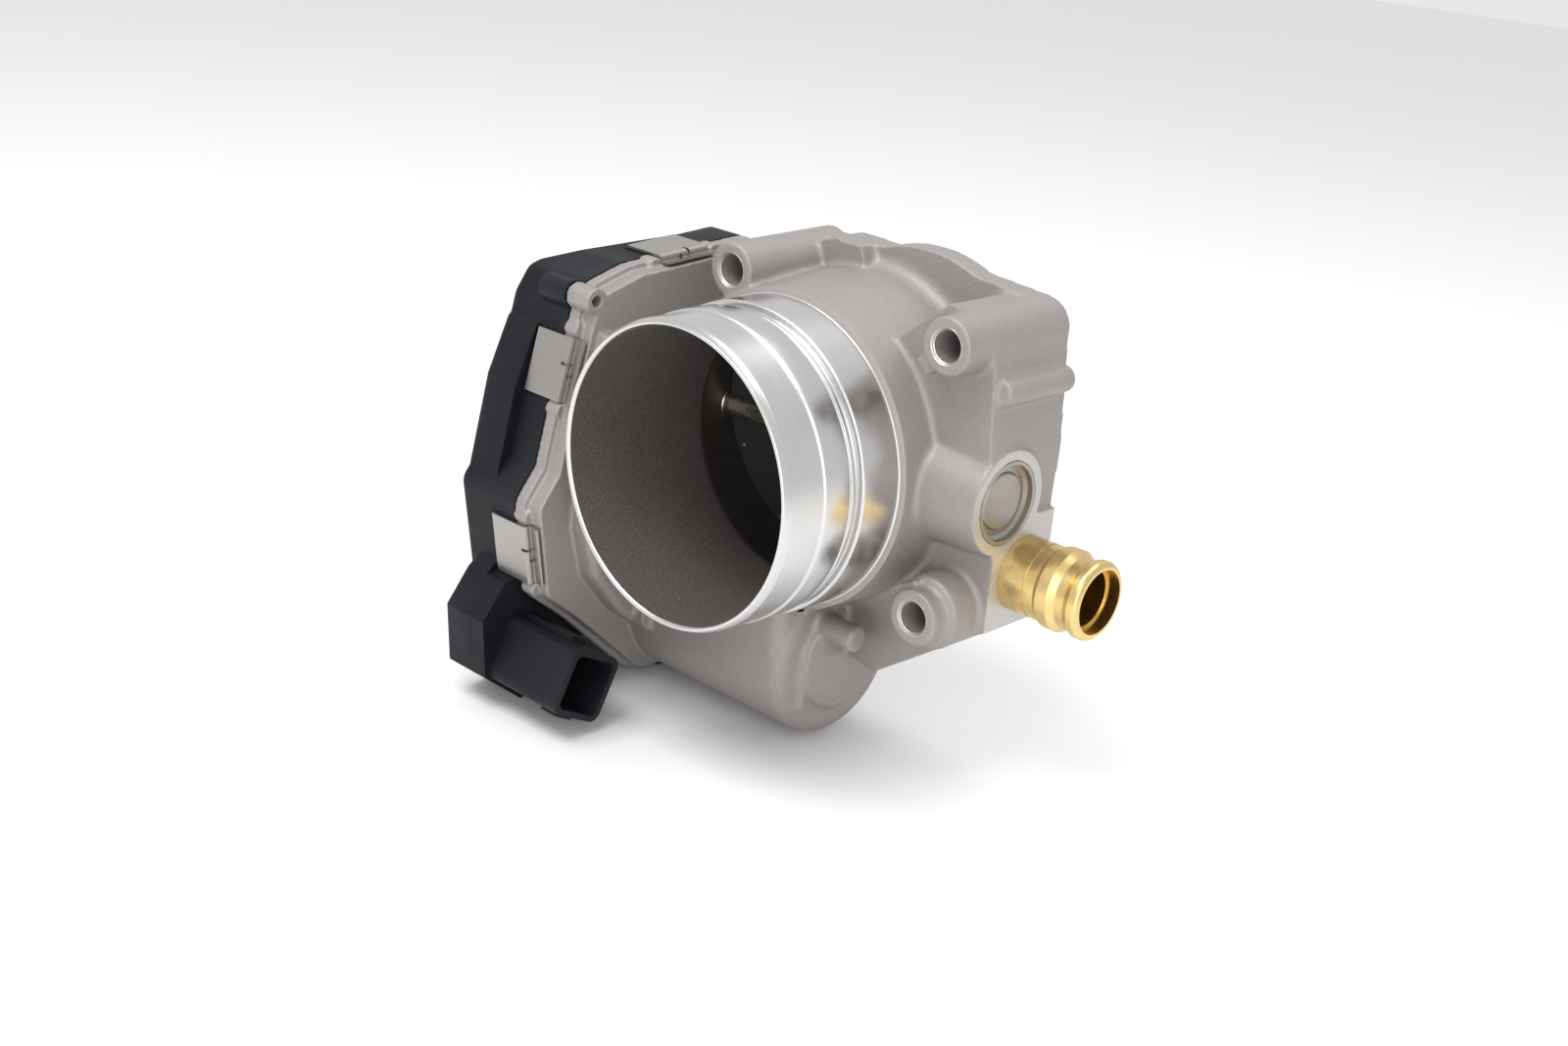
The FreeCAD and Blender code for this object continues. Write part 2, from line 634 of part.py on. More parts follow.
def hose_nipple():
    """Turned brass nipple: spigot in the casting, seat, barb and rolled lip."""
    reach = "nipple_tip_x - side_face_x"
    body = turned_body("hose_nipple_body", [
        ("nipple_bore_radius - 1.4", "-nipple_spigot_length"),
        ("nipple_spigot_radius - 0.05", "-nipple_spigot_length"),
        ("nipple_spigot_radius - 0.05", "0.05"),
        ("nipple_tube_radius", "0.05"),
        ("nipple_tube_radius", "8.6"),
        ("nipple_tube_radius - 0.3", "8.6"),
        ("nipple_tube_radius - 0.3", "9.2"),
        ("nipple_tube_radius", "9.2"),
        ("nipple_tube_radius", "12.4"),
        ("nipple_tube_radius + 1.0", "14.0"),
        ("nipple_tube_radius + 1.0", "17.6"),
        ("nipple_tube_radius - 0.4", "19.6"),
        ("nipple_tube_radius - 0.4", reach + " - 5.0"),
        ("nipple_tube_radius + 0.5", reach + " - 3.2"),
        ("nipple_tube_radius + 0.5", reach + " - 1.6"),
        ("nipple_tube_radius - 1.1", reach),
        ("nipple_bore_radius + 1.0", reach),
        ("nipple_bore_radius + 0.9", reach + " - 4.2"),
        ("nipple_bore_radius", reach + " - 4.2"),
        ("nipple_bore_radius", "0"),
        ("nipple_bore_radius - 1.4", "-3"),
    ], ("side_face_x", "nipple_y", "nipple_z"), {14: ("1.8", 1)})
    return keep(body, "hose_nipple")


def core_plug():
    """Pressed sheet cup that closes the shaft hole, open side outwards."""
    body = turned_body("core_plug_body", [
        ("0", "0"), ("plug_radius - 1.0", "0"), ("plug_radius - 0.02", "1.0"), ("plug_radius - 0.02", "3.9"),
        ("plug_radius - 1.0", "3.9"), ("plug_radius - 1.0", "2.2"), ("plug_radius - 2.2", "1.4"),
        ("plug_radius - 3.6", "1.4"), ("plug_radius - 4.2", "2.0"), ("0", "2.0"),
    ], ("side_face_x - 4", "shaft_y", "0"), {1: ("1.0", 1)})
    return keep(body, "core_plug")


def bearings_and_seals():
    """Needle bush on the right, ball bearing on the left, lip seals next to the bore."""
    at = ("shaft_y", "0")
    inside = "shaft_radius + running_gap"
    right = ring("right_needle_bush", "X", "6.98", inside, "12", ("49.1",) + at)
    keep(right, "right_needle_bearing")
    outer = ring("ball_outer", "X", "7.98", "6.3", "5", ("floor_x + 0.1",) + at)
    keep(outer, "left_bearing_outer_race")
    inner = ring("ball_inner", "X", "5.4", "shaft_radius", "5", ("floor_x + 0.1",) + at)
    keep(inner, "left_bearing_inner_race")
    balls = []
    for index in range(9):
        angle = 2 * math.pi * index / 9
        ball = doc.addObject("Part::Sphere", "ball_%d" % index)
        ball.Radius = 1.1
        y = size("shaft_y") + 5.85 * math.cos(angle)
        locate(ball, ("floor_x + 2.6", "%.4f" % y, "%.4f" % (5.85 * math.sin(angle))), Rotation())
        balls.append(cut("trimmed_ball_%d" % index, ball, [
            ring("ball_track_%d" % index, "X", "9", "6.28", "5", ("floor_x",) + at),
            cylinder("ball_bore_%d" % index, "X", "5.42", "5", ("floor_x",) + at),
        ]))
    keep(group("bearing_ball_set", balls), "bearing_balls")
    for side, start, depth in (("right", "46.05", "2.9"), ("left", "floor_x + 5.4", "3.3")):
        seal = ring(side + "_seal_ring", "X", "6.98", inside, depth, (start,) + at)
        keep(seal, side + "_shaft_seal")


def outlet_seal():
    """Rubber ring in the rear face, proud of its groove by nothing when bolted down."""
    keep(ring("outlet_seal_ring", "Y", "48.2", "44.8", "2.35", ("0", "-2.36", "0")), "outlet_seal")


# ---------------------------------------------------------------- throttle: shaft, plate and their gear

def throttle_shaft():
    """Shaft with a slot for the plate and a flat drive at the gear end."""
    at = ("shaft_y", "0")
    rod = cylinder("shaft_rod", "X", "shaft_radius", "62.6 - seam_x + 7.6", ("seam_x - 7.6",) + at)
    ends = rounded("shaft_rod_soft", rod, "0.5", lambda edge: edge.BoundBox.XLength < 0.1)
    slot = box("plate_slot", ("-bore_radius - 0.4", "shaft_y - plate_thickness/2 - 0.04", "-6"),
               ("2*bore_radius + 0.8", "plate_thickness + 0.08", "12"))
    holes = [cylinder("screw_hole_%d" % index, "Y", "screw_radius + 0.05", "12", (x, "shaft_y - 6", "0"))
             for index, x in enumerate(("-16", "16"))]
    faces = [box("screw_flat_%d" % index, (x, "shaft_y - shaft_radius - 1", "-5"), ("8", "1.9", "10"))
             for index, x in enumerate(("-20", "12"))]
    shaft = about_shaft(cut("slotted_shaft", ends, [slot] + holes + faces), size("rest_tilt"))
    return keep(shaft, "throttle_shaft")


def tilted_hole(name, x):
    """Screw hole square to the closed plate."""
    item = doc.addObject("Part::Cylinder", name)
    item.setExpression("Radius", bound("screw_radius + 0.05"))
    item.setExpression("Height", "12")
    tilt = Rotation(Vector(1, 0, 0), size("closed_tilt"))
    closed = Placement(Vector(), tilt, Vector(0, size("shaft_y"), 0))
    item.Placement = closed.multiply(Placement(Vector(x, size("shaft_y") - 6, 0), FACING["Y"]))
    return item


def throttle_plate():
    """Disc that fills the bore at its closed tilt, shown at its rest angle."""
    slab = box("plate_slab", ("-50", "shaft_y - plate_thickness/2", "-50"), ("100", "plate_thickness", "100"),
               size("closed_tilt"), ("shaft_y", "0"))
    core = cylinder("plate_round", "Y", "bore_radius - 0.06", "30", ("0", "shaft_y - 15", "0"))
    disc = doc.addObject("Part::Common", "plate_disc")
    disc.Base = core
    disc.Tool = slab
    holes = [tilted_hole("plate_hole_%d" % index, x) for index, x in enumerate((-16, 16))]
    plate = about_shaft(cut("drilled_plate", disc, holes), size("rest_tilt - closed_tilt"))
    return keep(plate, "throttle_plate")


def plate_screws():
    """Two countersunk-style screws through shaft and plate, tips peened over."""
    screws = []
    for index, x in enumerate(("-16", "16")):
        shank = cylinder("plate_screw_shank_%d" % index, "Y", "screw_radius", "7.0",
                         (x, "shaft_y - 3.2", "0"))
        head = cylinder("plate_screw_head_%d" % index, "Y", "2.7", "1.42", (x, "shaft_y - 4.55", "0"))
        soft = rounded("plate_screw_dome_%d" % index, head, "0.6",
                       lambda edge: edge.BoundBox.YMax < size("shaft_y") - 4.5)
        socket = prism("screw_star_%d" % index, "XZ", "shaft_y - 3.6", "1.5", star_points(size(x)))
        screws.append(about_shaft(cut("plate_screw_%d" % index, fuse("screw_solid_%d" % index, [shank, soft]),
                                      [socket]), size("rest_tilt")))
    return keep(group("plate_screw_pair", screws), "plate_screws")


def star_points(middle):
    """Six-lobed drive recess as (x, z) corners round x = middle."""
    points = []
    for index in range(12):
        angle = math.pi * index / 6
        radius = 1.35 if index % 2 else 0.95
        points.append(("%.3f" % (middle + radius * math.cos(angle)), "%.3f" % (radius * math.sin(angle))))
    return points


# ---------------------------------------------------------------- gears

def flank_points(teeth, module, side):
    """Right or left flank of a tooth centred on angle 0: root, involute, tip."""
    pressure = math.radians(size("pressure_angle"))
    pitch = module * teeth / 2
    base = pitch * math.cos(pressure)
    tip = pitch + module * 0.85
    root = pitch - module * 1.15
    half = (math.pi * module / 2 - size("backlash")) / (2 * pitch) + math.tan(pressure) - pressure
    points = []
    lowest = max(base, root)
    if root < base:
        points.append((root, half))
    for step in range(5):
        radius = lowest + (tip - lowest) * step / 4
        roll = math.acos(min(1.0, base / radius))
        points.append((radius, half - (math.tan(roll) - roll)))
    return [(radius, side * angle) for radius, angle in points]


def gear_face(teeth, module, phase, present):
    """Closed gear outline; only the teeth in present stand, the rest stay at the root."""
    corners = []
    for tooth in range(teeth):
        middle = phase + 2 * math.pi * tooth / teeth
        if tooth in present:
            outline = flank_points(teeth, module, -1) + flank_points(teeth, module, 1)[::-1]
        else:
            root = module * (teeth / 2 - 1.15)
            outline = [(root, -math.pi / teeth * 0.9), (root, math.pi / teeth * 0.9)]
        corners += [Vector(radius * math.cos(middle + angle), radius * math.sin(middle + angle), 0)
                    for radius, angle in outline]
    return Part.Face(Part.makePolygon(corners + corners[:1]))


def gear_solid(teeth, module, phase, width, present=None):
    """Spur gear blank along local +Z."""
    chosen = range(teeth) if present is None else present
    return gear_face(teeth, module, phase, set(chosen)).extrude(Vector(0, 0, width))


def gear_feature(name, shape, start, y, z):
    """Place a gear drawn in local X-Y so that local X is +Y, local Y is +Z and Z is +X."""
    return solid_feature(name, shape, (start, "%.4f" % y, "%.4f" % z), PLANE["YZ"])


def mesh_phase(teeth_a, phase_a, angle, teeth_b):
    """Phase of gear b so that its gap meets gear a's tooth on the line at angle from a to b."""
    pitch_a = 2 * math.pi / teeth_a
    offset = ((angle - phase_a) / pitch_a) % 1.0
    pitch_b = 2 * math.pi / teeth_b
    return angle + math.pi + pitch_b * (offset + 0.5)


def sector_gear():
    """Moulded quadrant gear with a hub; teeth only where the idler reaches."""
    teeth = int(size("sector_teeth"))
    module = size("sector_module")
    low, count, pitch = sector_span()
    width = size("sector_width")
    wheel = gear_solid(teeth, module, low, width, range(count))
    root = module * (teeth / 2 - 1.15)
    corners = [Vector(0, 0, 0)]
    first, last = low - pitch * 0.45, low + (count - 1) * pitch + pitch * 0.45
    for step in range(13):
        angle = first + (last - first) * step / 12
        corners.append(Vector(1.3 * root * math.cos(angle), 1.3 * root * math.sin(angle), 0))
    wedge = Part.Face(Part.makePolygon(corners + corners[:1])).extrude(Vector(0, 0, width))
    hub = Part.makeCylinder(9.0, width)
    shape = wheel.common(wedge).fuse(hub)
    web_mid = (first + last) / 2
    for side in (-1, 0, 1):
        angle = web_mid + side * (last - first) / 3.4
        spot = Vector(17.3 * math.cos(angle), 17.3 * math.sin(angle), 0)
        shape = shape.cut(Part.makeCylinder(4.4, width, spot))
    shape = shape.cut(Part.makeCylinder(6.4, width))
    sector = gear_feature("sector", shape.removeSplitter(), "seam_x - 7", size("shaft_y"), 0)
    return keep(sector, "sector_gear"), low


def idler_gear(sector_phase):
    """Stepped idler: small gear in mesh with the sector, large wheel with the motor."""
    idler = idler_spot()
    shaft = Vector(size("shaft_y"), 0)
    motor = Vector(size("motor_y"), size("motor_z"))
    small_teeth = int(size("idler_small_teeth"))
    from_shaft = math.atan2(idler.y - shaft.y, idler.x - shaft.x)
    phase = mesh_phase(int(size("sector_teeth")), sector_phase, from_shaft, small_teeth)
    small = gear_solid(small_teeth, size("sector_module"), phase, 8.6)
    wheel = gear_solid(int(size("wheel_teeth")), size("wheel_module"), 0.0, 5.0)
    rim = Part.makeCylinder(25.2, 5.0).cut(Part.makeCylinder(11.0, 5.0))
    recess = rim.translated(Vector(0, 0, -3.4))
    wheel = wheel.cut(recess).cut(rim.translated(Vector(0, 0, 3.4)))
    for index in range(5):
        angle = 2 * math.pi * index / 5
        wheel = wheel.cut(Part.makeCylinder(4.3, 5.0, Vector(18 * math.cos(angle), 18 * math.sin(angle), 0)))
    shape = small.translated(Vector(0, 0, 5.0)).fuse(wheel)
    bore = Part.makeCylinder(size("idler_pin_radius + running_gap"), 20.0, Vector(0, 0, -1))
    shape = shape.cut(bore).removeSplitter()
    keep(gear_feature("idler", shape, "seam_x - 14.2", idler.x, idler.y), "idler_gear")
    to_motor = math.atan2(motor.y - idler.y, motor.x - idler.x)
    return mesh_phase(int(size("wheel_teeth")), 0.0, to_motor, int(size("pinion_teeth")))


def idler_pin():
    idler = idler_spot()
    at = ("%.4f" % idler.x, "%.4f" % idler.y)
    pin = cylinder("idler_pin_rod", "X", "idler_pin_radius", "32.5", ("-77.5",) + at)
    soft = rounded("idler_pin_soft", pin, "0.4", lambda edge: edge.BoundBox.XLength < 0.1)
    keep(soft, "idler_pin")


def shaft_gear_parts():
    """Steel insert in the sector, the sensor rotor and the magnet it carries."""
    at = ("shaft_y", "0")
    insert = ring("drive_insert_ring", "X", "6.4", "shaft_radius", "sector_width", ("seam_x - 7",) + at)
    keep(insert, "drive_insert")
    cup = ring("sensor_cup", "X", "5.9", "4.2", "4.6", ("seam_x - 11.9",) + at)
    lid = cylinder("sensor_cup_web", "X", "5.9", "1.0", ("seam_x - 8.6",) + at)
    hub = fuse("sensor_cup_solid", [cup, lid])
    key = cylinder("sensor_key", "X", "shaft_radius", "4", ("seam_x - 7.7",) + at)
    keep(cut("sensor_rotor_solid", hub, [key]),
         "sensor_rotor")
    keep(cylinder("magnet_disc", "X", "4.2", "3.0", ("seam_x - 11.7",) + at), "sensor_magnet")


def return_spring():
    """Torsion spring round the shaft, between the chamber floor and the sector."""
    wire, mean, rise, turns, steps = 0.65, 9.6, 4.5, 3, 20
    path = []
    for index in range(turns * steps + 1):
        angle = 2 * math.pi * index / steps
        path.append(Vector(mean * math.cos(angle), mean * math.sin(angle), rise * index / (turns * steps)))
    curve = Part.BSplineCurve()
    curve.interpolate(path)
    heading = curve.tangent(curve.FirstParameter)[0]
    section = Part.Wire(Part.makeCircle(wire, path[0], heading))
    coil = Part.Wire(curve.toShape()).makePipeShell([section], True, False)
    item = solid_feature("return_spring_coil", coil, ("seam_x + 0.75", "shaft_y", "0"), FACING["X"])
    return keep(item, "return_spring")


def stop_screw():
    """Set screw that the sector meets when the plate is closed."""
    screw = stop_cylinder("stop_screw_rod", 2.0, 13.5, 0.45)
    socket = stop_cylinder("stop_screw_socket", 0.9, 2.4, 11.9)
    return keep(cut("stop_screw_solid", screw, [socket]), "closed_stop_screw")


# ---------------------------------------------------------------- motor

MOTOR = ("motor_y", "motor_z")


def motor_shell():
    """Deep-drawn can with a bearing nose, its magnets, rear bush and spring washer."""
    can = cylinder("can_outside", "X", "motor_can_radius", "56", ("-47",) + MOTOR)
    nose = cylinder("can_nose", "X", "5.4", "3.0", ("8.9",) + MOTOR)
    soft = rounded("can_soft", can, "1.6", lambda edge: edge.BoundBox.XMin > 8)
    inside = cylinder("can_inside", "X", "motor_can_radius - can_wall", "54.7", ("-47.1",) + MOTOR)
    pocket = cylinder("can_nose_pocket", "X", "4.2", "3.6", ("7.3",) + MOTOR)
    keep(cut("can_solid", fuse("can_body", [soft, nose]), [inside, pocket]), "motor_can")
    tiles = []
    for index, side in enumerate((-1, 1)):
        tile = ring("magnet_ring_%d" % index, "X", "motor_can_radius - can_wall - 0.05", "13.6", "34",
                    ("-31",) + MOTOR)
        width, height = "14", "50"
        low_y = "motor_y + 7" if side > 0 else "motor_y - 7 - 14"
        window = box("magnet_window_%d" % index, ("-32", low_y, "motor_z - 25"), ("36", width, height))
        tile_part = doc.addObject("Part::Common", "magnet_tile_%d" % index)
        tile_part.Base = tile
        tile_part.Tool = window
        tiles.append(tile_part)
    keep(group("magnet_pair", tiles), "motor_magnets")
    keep(ring("rear_bush_ring", "X", "4.15", "motor_shaft_radius + running_gap", "3.4", ("7.4",) + MOTOR),
         "motor_rear_bush")
    keep(spring_washer(), "motor_spring_washer")


def spring_washer():
    """Dished ring that holds the can against its end plate."""
    return turned_body("spring_washer_ring", [("5.7", "0.2"), ("8.4", "3.0"), ("8.4", "3.4"), ("5.7", "0.6")],
                       ("9.3",) + MOTOR)


def motor_end_plate():
    """Steel end plate with two ears and slots for the terminals."""
    back = "floor_x - end_plate_thickness"
    disc = cylinder("end_disc", "X", "motor_can_radius", "end_plate_thickness", (back,) + MOTOR)
    reach = "motor_screw_offset + 3.4"
    ears = box("end_ears", (back, "motor_y - (%s)" % reach, "motor_z - 4.4"),
               ("end_plate_thickness", "2 * (%s)" % reach, "8.8"))
    soft = rounded("end_ears_soft", ears, "3.6",
                   lambda edge: edge.BoundBox.YLength < 0.1 and edge.BoundBox.ZLength < 0.1)
    holes = [cylinder("end_centre", "X", "4.0", "4", ("floor_x - 3",) + MOTOR)]
    for index, side in enumerate((-1, 1)):
        screw = ("floor_x - 3", "motor_y + %d * motor_screw_offset" % side, "motor_z")
        slot = ("floor_x - 3", "motor_y + %d * terminal_offset - 3" % side, "motor_z - 13.6")
        holes.append(cylinder("end_hole_%d" % index, "X", "2.1", "4", screw))
        holes.append(box("end_slot_%d" % index, slot, ("4", "6", "3")))
    keep(cut("end_plate_solid", fuse("end_plate_body", [disc, soft]), holes), "motor_end_plate")


def brush_gear():
    """Brush card, two brushes on the commutator, front bush and two terminals."""
    card = ring("card_ring", "X", "18.4", "8.2", "3.0", ("-50.4",) + MOTOR)
    rim = ring("card_rim", "X", "19.7", "16.0", "5.9", ("floor_x",) + MOTOR)
    keep(fuse("card_solid", [card, rim]), "brush_card")
    brushes, blades = [], []
    for index, side in enumerate((-1, 1)):
        z = "motor_z + 5.1" if side > 0 else "motor_z - 5.1 - 6.5"
        brushes.append(box("brush_%d" % index, ("-47.3", "motor_y - 1.6", z), ("4.0", "3.2", "6.5")))
        low = ("-73.5", "motor_y + %d * terminal_offset - 2.2" % side, "motor_z - 12.5")
        blades.append(box("blade_%d" % index, low, ("22.9", "4.4", "0.8")))
    keep(group("brush_pair", brushes), "motor_brushes")
    bush = ring("front_bush_ring", "X", "4.0", "motor_shaft_radius + running_gap", "3.4",
                ("floor_x - 1.9",) + MOTOR)
    keep(bush, "motor_front_bush")
    keep(group("blade_pair", blades), "motor_terminals")


def motor_screws():
    """Two cross-head screws through the ears of the end plate."""
    screws = []
    for index, side in enumerate((-1, 1)):
        middle = "motor_y + %d * motor_screw_offset" % side
        shank = cylinder("motor_screw_shank_%d" % index, "X", "1.95", "11.5",
                         ("floor_x - 1.5", middle, "motor_z"))
        head = cylinder("motor_screw_head_%d" % index, "X", "3.5", "2.4",
                        ("floor_x - 3.8", middle, "motor_z"))
        dome = rounded("motor_screw_soft_%d" % index, head, "0.7",
                       lambda edge: edge.BoundBox.XMax < size("floor_x") - 3.7)
        cross = [
            box("cross_long_%d" % index, ("floor_x - 4", middle + " - 1.8", "motor_z - 0.45"),
                ("1.4", "3.6", "0.9")),
            box("cross_tall_%d" % index, ("floor_x - 4", middle + " - 0.45", "motor_z - 1.8"),
                ("1.4", "0.9", "3.6")),
        ]
        solid = fuse("motor_screw_solid_%d" % index, [shank, dome])
        screws.append(cut("motor_screw_%d" % index, solid, cross))
    keep(group("motor_screw_pair", screws), "motor_screws")


def rotor(pinion_phase):
    """Everything that spins in the motor: shaft, core, windings, commutator, pinion."""
    radius = "motor_shaft_radius"
    shaft = cylinder("rotor_shaft", "X", radius, "10.6 - seam_x + 14.8", ("seam_x - 14.8",) + MOTOR)
    keep(shaft, "motor_shaft")
    lamination = Part.makeCylinder(12.6, 26.0)
    for index in range(5):
        angle = 2 * math.pi * index / 5
        groove = Part.makeBox(6.0, 1.6, 26.0, Vector(7.6, -0.8, 0))
        pocket = Part.makeCylinder(2.6, 26.0, Vector(8.0, 0, 0))
        tool = groove.fuse(pocket)
        tool.rotate(Vector(), Vector(0, 0, 1), math.degrees(angle))
        lamination = lamination.cut(tool)
    lamination = lamination.cut(Part.makeCylinder(size(radius), 26.0))
    keep(solid_feature("core_stack", lamination, ("-28",) + MOTOR, PLANE["YZ"]), "armature_core")
    ends = [ring("winding_%d" % index, "X", "10.6", radius, "5.0", (x,) + MOTOR)
            for index, x in enumerate(("-33", "-2"))]
    soft = []
    for index, (end, far) in enumerate(zip(ends, (-33.0, 3.0))):
        outer = lambda edge, far=far: abs(edge.BoundBox.XMin - far) < 0.01 and edge.BoundBox.YLength > 10
        soft.append(rounded("winding_soft_%d" % index, end, "1.8", outer))
    keep(group("winding_pair", soft), "armature_windings")
    keep(ring("commutator_ring", "X", "5.0", radius, "8.0", ("-47.8 + 0.6",) + MOTOR), "commutator")
    shape = gear_solid(int(size("pinion_teeth")), size("wheel_module"), pinion_phase, 6.4)
    shape = shape.cut(Part.makeCylinder(size(radius), 8.0))
    keep(gear_feature("pinion", shape, "seam_x - 14.6", size("motor_y"), size("motor_z")), "motor_pinion")


# ---------------------------------------------------------------- cover, gasket, clips and electrics

def socket_box(name, start, length, inset):
    """Box along X in the turned frame of the connector."""
    y = "plug_socket_y - plug_socket_width/2 + %s" % inset
    z = "plug_socket_z - plug_socket_height/2 + %s" % inset
    spans = (length, "plug_socket_width - 2 * %s" % inset, "plug_socket_height - 2 * %s" % inset)
    return box(name, (start, y, z), spans, size("plug_socket_turn"), ("plug_socket_y", "plug_socket_z"))


def bevel(name, depth):
    """Wedge above the sloping top of the cover, sunk by depth."""
    return prism(name, "XZ", "20", "100", [
        ("bevel_x", "bevel_z - " + depth), ("bevel_x - 16", "bevel_z - 7.4 - " + depth),
        ("bevel_x - 16", "80"),
        ("bevel_x", "80"),
    ])


def connector_pins():
    """Six blades moulded into the socket's floor, in two rows."""
    pins = []
    for row in (-1, 1):
        for column in (-1, 0, 1):
            low = ("-66.0", "plug_socket_y + %d * 4.6 - 0.4" % column, "plug_socket_z + %d * 3.4 - 0.4" % row)
            pins.append(box("pin_%d_%d" % (row + 1, column + 1), low, ("19.0", "0.8", "0.8"),
                            size("plug_socket_turn"), ("plug_socket_y", "plug_socket_z")))
    return keep(group("pin_set", pins), "connector_pins")


def cover_outside():
    """Shell, shoulder, connector lobe and socket with rib and latch, and the peg's lug."""
    face = lambda alias: lambda edge: edge.BoundBox.XMax < size(alias) + 0.1
    depth = "seam_x - gasket_thickness - cover_outer_x"
    shell = case_layer("cover_shell", "case_margin", "cover_outer_x", depth)
    shoulder = prism("cover_shoulder", "YZ", "cover_outer_x", "16", COVER_SHOULDER)
    lobe = prism("cover_lobe", "YZ", "lobe_outer_x", "19.5", SOCKET_LOBE)
    socket = socket_box("socket_outside", "-66", "plug_socket_mouth_x + 66", "0")
    about = ("plug_socket_y", "plug_socket_z")
    rib = box("socket_rib", ("-62", "plug_socket_y - 3", "plug_socket_z + plug_socket_height/2 - 0.5"),
              ("21", "6", "2.3"), size("plug_socket_turn"), about)
    latch = box("socket_latch", ("-42", "plug_socket_y - 3.4", "plug_socket_z - plug_socket_height/2 - 1.5"),
                ("7", "6.8", "2.0"), size("plug_socket_turn"), about)
    return [
        rounded("cover_soft", shell, "4.2", face("cover_outer_x")),
        rounded("cover_shoulder_soft", shoulder, "4.2", face("cover_outer_x")),
        rounded("cover_lobe_soft", lobe, "2.6", face("lobe_outer_x")),
        rounded("socket_soft", socket, "3.6", lambda edge: edge.BoundBox.XLength > 10),
        rib,
        latch,
        cylinder("cover_peg", "X", "1.55", "9.5", ("seam_x - 3", "peg_y", "peg_z")),
        cylinder("cover_peg_lug", "X", "4.2", "12", ("seam_x - 12.5", "peg_y", "peg_z")),
    ]


def cover_supports():
    """Boss round the idler pin's end and four posts under the sensor board."""
    idler = idler_spot()
    start = "cover_roof_x - 0.5"
    inside = [ring("pin_support", "X", "4.8", "idler_pin_radius + 0.04", "-75.4 - (%s)" % start,
                   (start, "%.4f" % idler.x, "%.4f" % idler.y))]
    for index, (y, z) in enumerate((("-8", "-10"), ("8", "-10"), ("-8", "10"), ("9", "10"))):
        inside.append(cylinder("board_post_%d" % index, "X", "1.8", "board_x - 0.05 - (%s)" % start,
                               (start, "shaft_y + " + y, z)))
    return inside


def clip_rooms():
    """Slot for each clip's hook, with free space over the clip's bridge."""
    rooms = []
    span = size("clip_width") + 1.0
    back = size("clip_hook_x") - 0.7
    reach = size("seam_x") + 1.0 - back
    for index, (y, z, angle) in enumerate(CLIPS):
        slot = Part.makeBox(2.2, span, 5.0, Vector(back, -span / 2, -1.9))
        above = Part.makeBox(reach, span, 5.0, Vector(back, -span / 2, 0.1))
        spot = (0, "%.3f" % y, "%.3f" % z)
        rooms.append(solid_feature("clip_slot_%d" % index, slot.fuse(above), spot, clip_turn(angle)))
    return rooms


def gear_cover(pins):
    """Moulded cover over the gears, with the connector's lobe and socket."""
    full_hollow = case_layer("cover_hollow", "cover_margin", "cover_roof_x", "seam_x - cover_roof_x")
    hollow = cut("cover_hollow_trimmed", full_hollow, [bevel("inner_bevel", "case_margin - cover_margin")])
    mouth = socket_box("socket_inside", "-61.5", "plug_socket_mouth_x + 62.5", "plug_socket_wall")
    soft_mouth = rounded("socket_inside_soft", mouth, "2.2", lambda edge: edge.BoundBox.XLength > 10)
    tools = [hollow, soft_mouth, bevel("outer_bevel", "0"), pins] + clip_rooms()
    shell = cut("cover_moulding", fuse("cover_body", cover_outside()), tools)
    return keep(fuse("cover_solid", [shell] + cover_supports()), "gear_cover")


def clip_turn(angle):
    """Rotation that points a clip's local +Z outwards at angle in the Y-Z plane."""
    return Rotation(Vector(1, 0, 0), angle - 90.0)


def cover_gasket():
    """Flat ring between tray and cover."""
    outer = case_layer("gasket_outside", "case_margin - 0.5", "seam_x - gasket_thickness", "gasket_thickness")
    inner = case_layer("gasket_inside", "cover_margin + 0.3", "seam_x - 2", "4")
    peg_hole = cylinder("gasket_peg_hole", "X", "2.0", "4", ("seam_x - 2", "peg_y", "peg_z"))
    keep(cut("gasket_ring", outer, [inner, peg_hole]), "cover_gasket")


def spring_clip(index, y, z, angle):
    """Bent sheet clip: hook, bridge, rounded back, and a flared lip, with two notches."""
    hook, back, sheet_t = size("clip_hook_x"), size("clip_bend_x"), size("clip_sheet")
    low, lift = 0.25, 0.25 + sheet_t
    outline = [
        Vector(hook, 0, -1.5), Vector(hook, 0, lift - 0.5), Vector(hook + 0.5, 0, lift),
        Vector(back - 0.9, 0, lift),
        Vector(back - 0.25, 0, lift - 0.3), Vector(back, 0, lift - 0.9), Vector(back, 0, -0.9),
        Vector(back + 0.35, 0, -1.05), Vector(back + 3.9, 0, -0.2), Vector(back + 4.1, 0, -0.8),
        Vector(back + 0.2, 0, -1.65), Vector(back - 0.5, 0, -1.6), Vector(back - sheet_t, 0, -1.1),
        Vector(back - sheet_t, 0, low - 0.1), Vector(back - sheet_t - 0.2, 0, low),
        Vector(hook + sheet_t + 0.1, 0, low), Vector(hook + sheet_t, 0, low - 0.1),
        Vector(hook + sheet_t, 0, -1.5),
    ]
    width = size("clip_width")
    face = Part.Face(Part.makePolygon(outline + outline[:1]))
    clip = face.extrude(Vector(0, width, 0))
    clip.translate(Vector(0, -width / 2, 0))
    for side in (-1, 1):
        spot = Vector(back - 2.5, side * 1.7, -0.45)
        clip = clip.cut(Part.makeCylinder(0.7, 3.6, spot, Vector(1, 0, 0)))
        clip = clip.cut(Part.makeBox(3.6, 1.0, 1.5, spot + Vector(0, -0.5, min(0, side * 1.5))))
    return solid_feature("clip_%d" % index, clip, (0, "%.3f" % y, "%.3f" % z), clip_turn(angle))


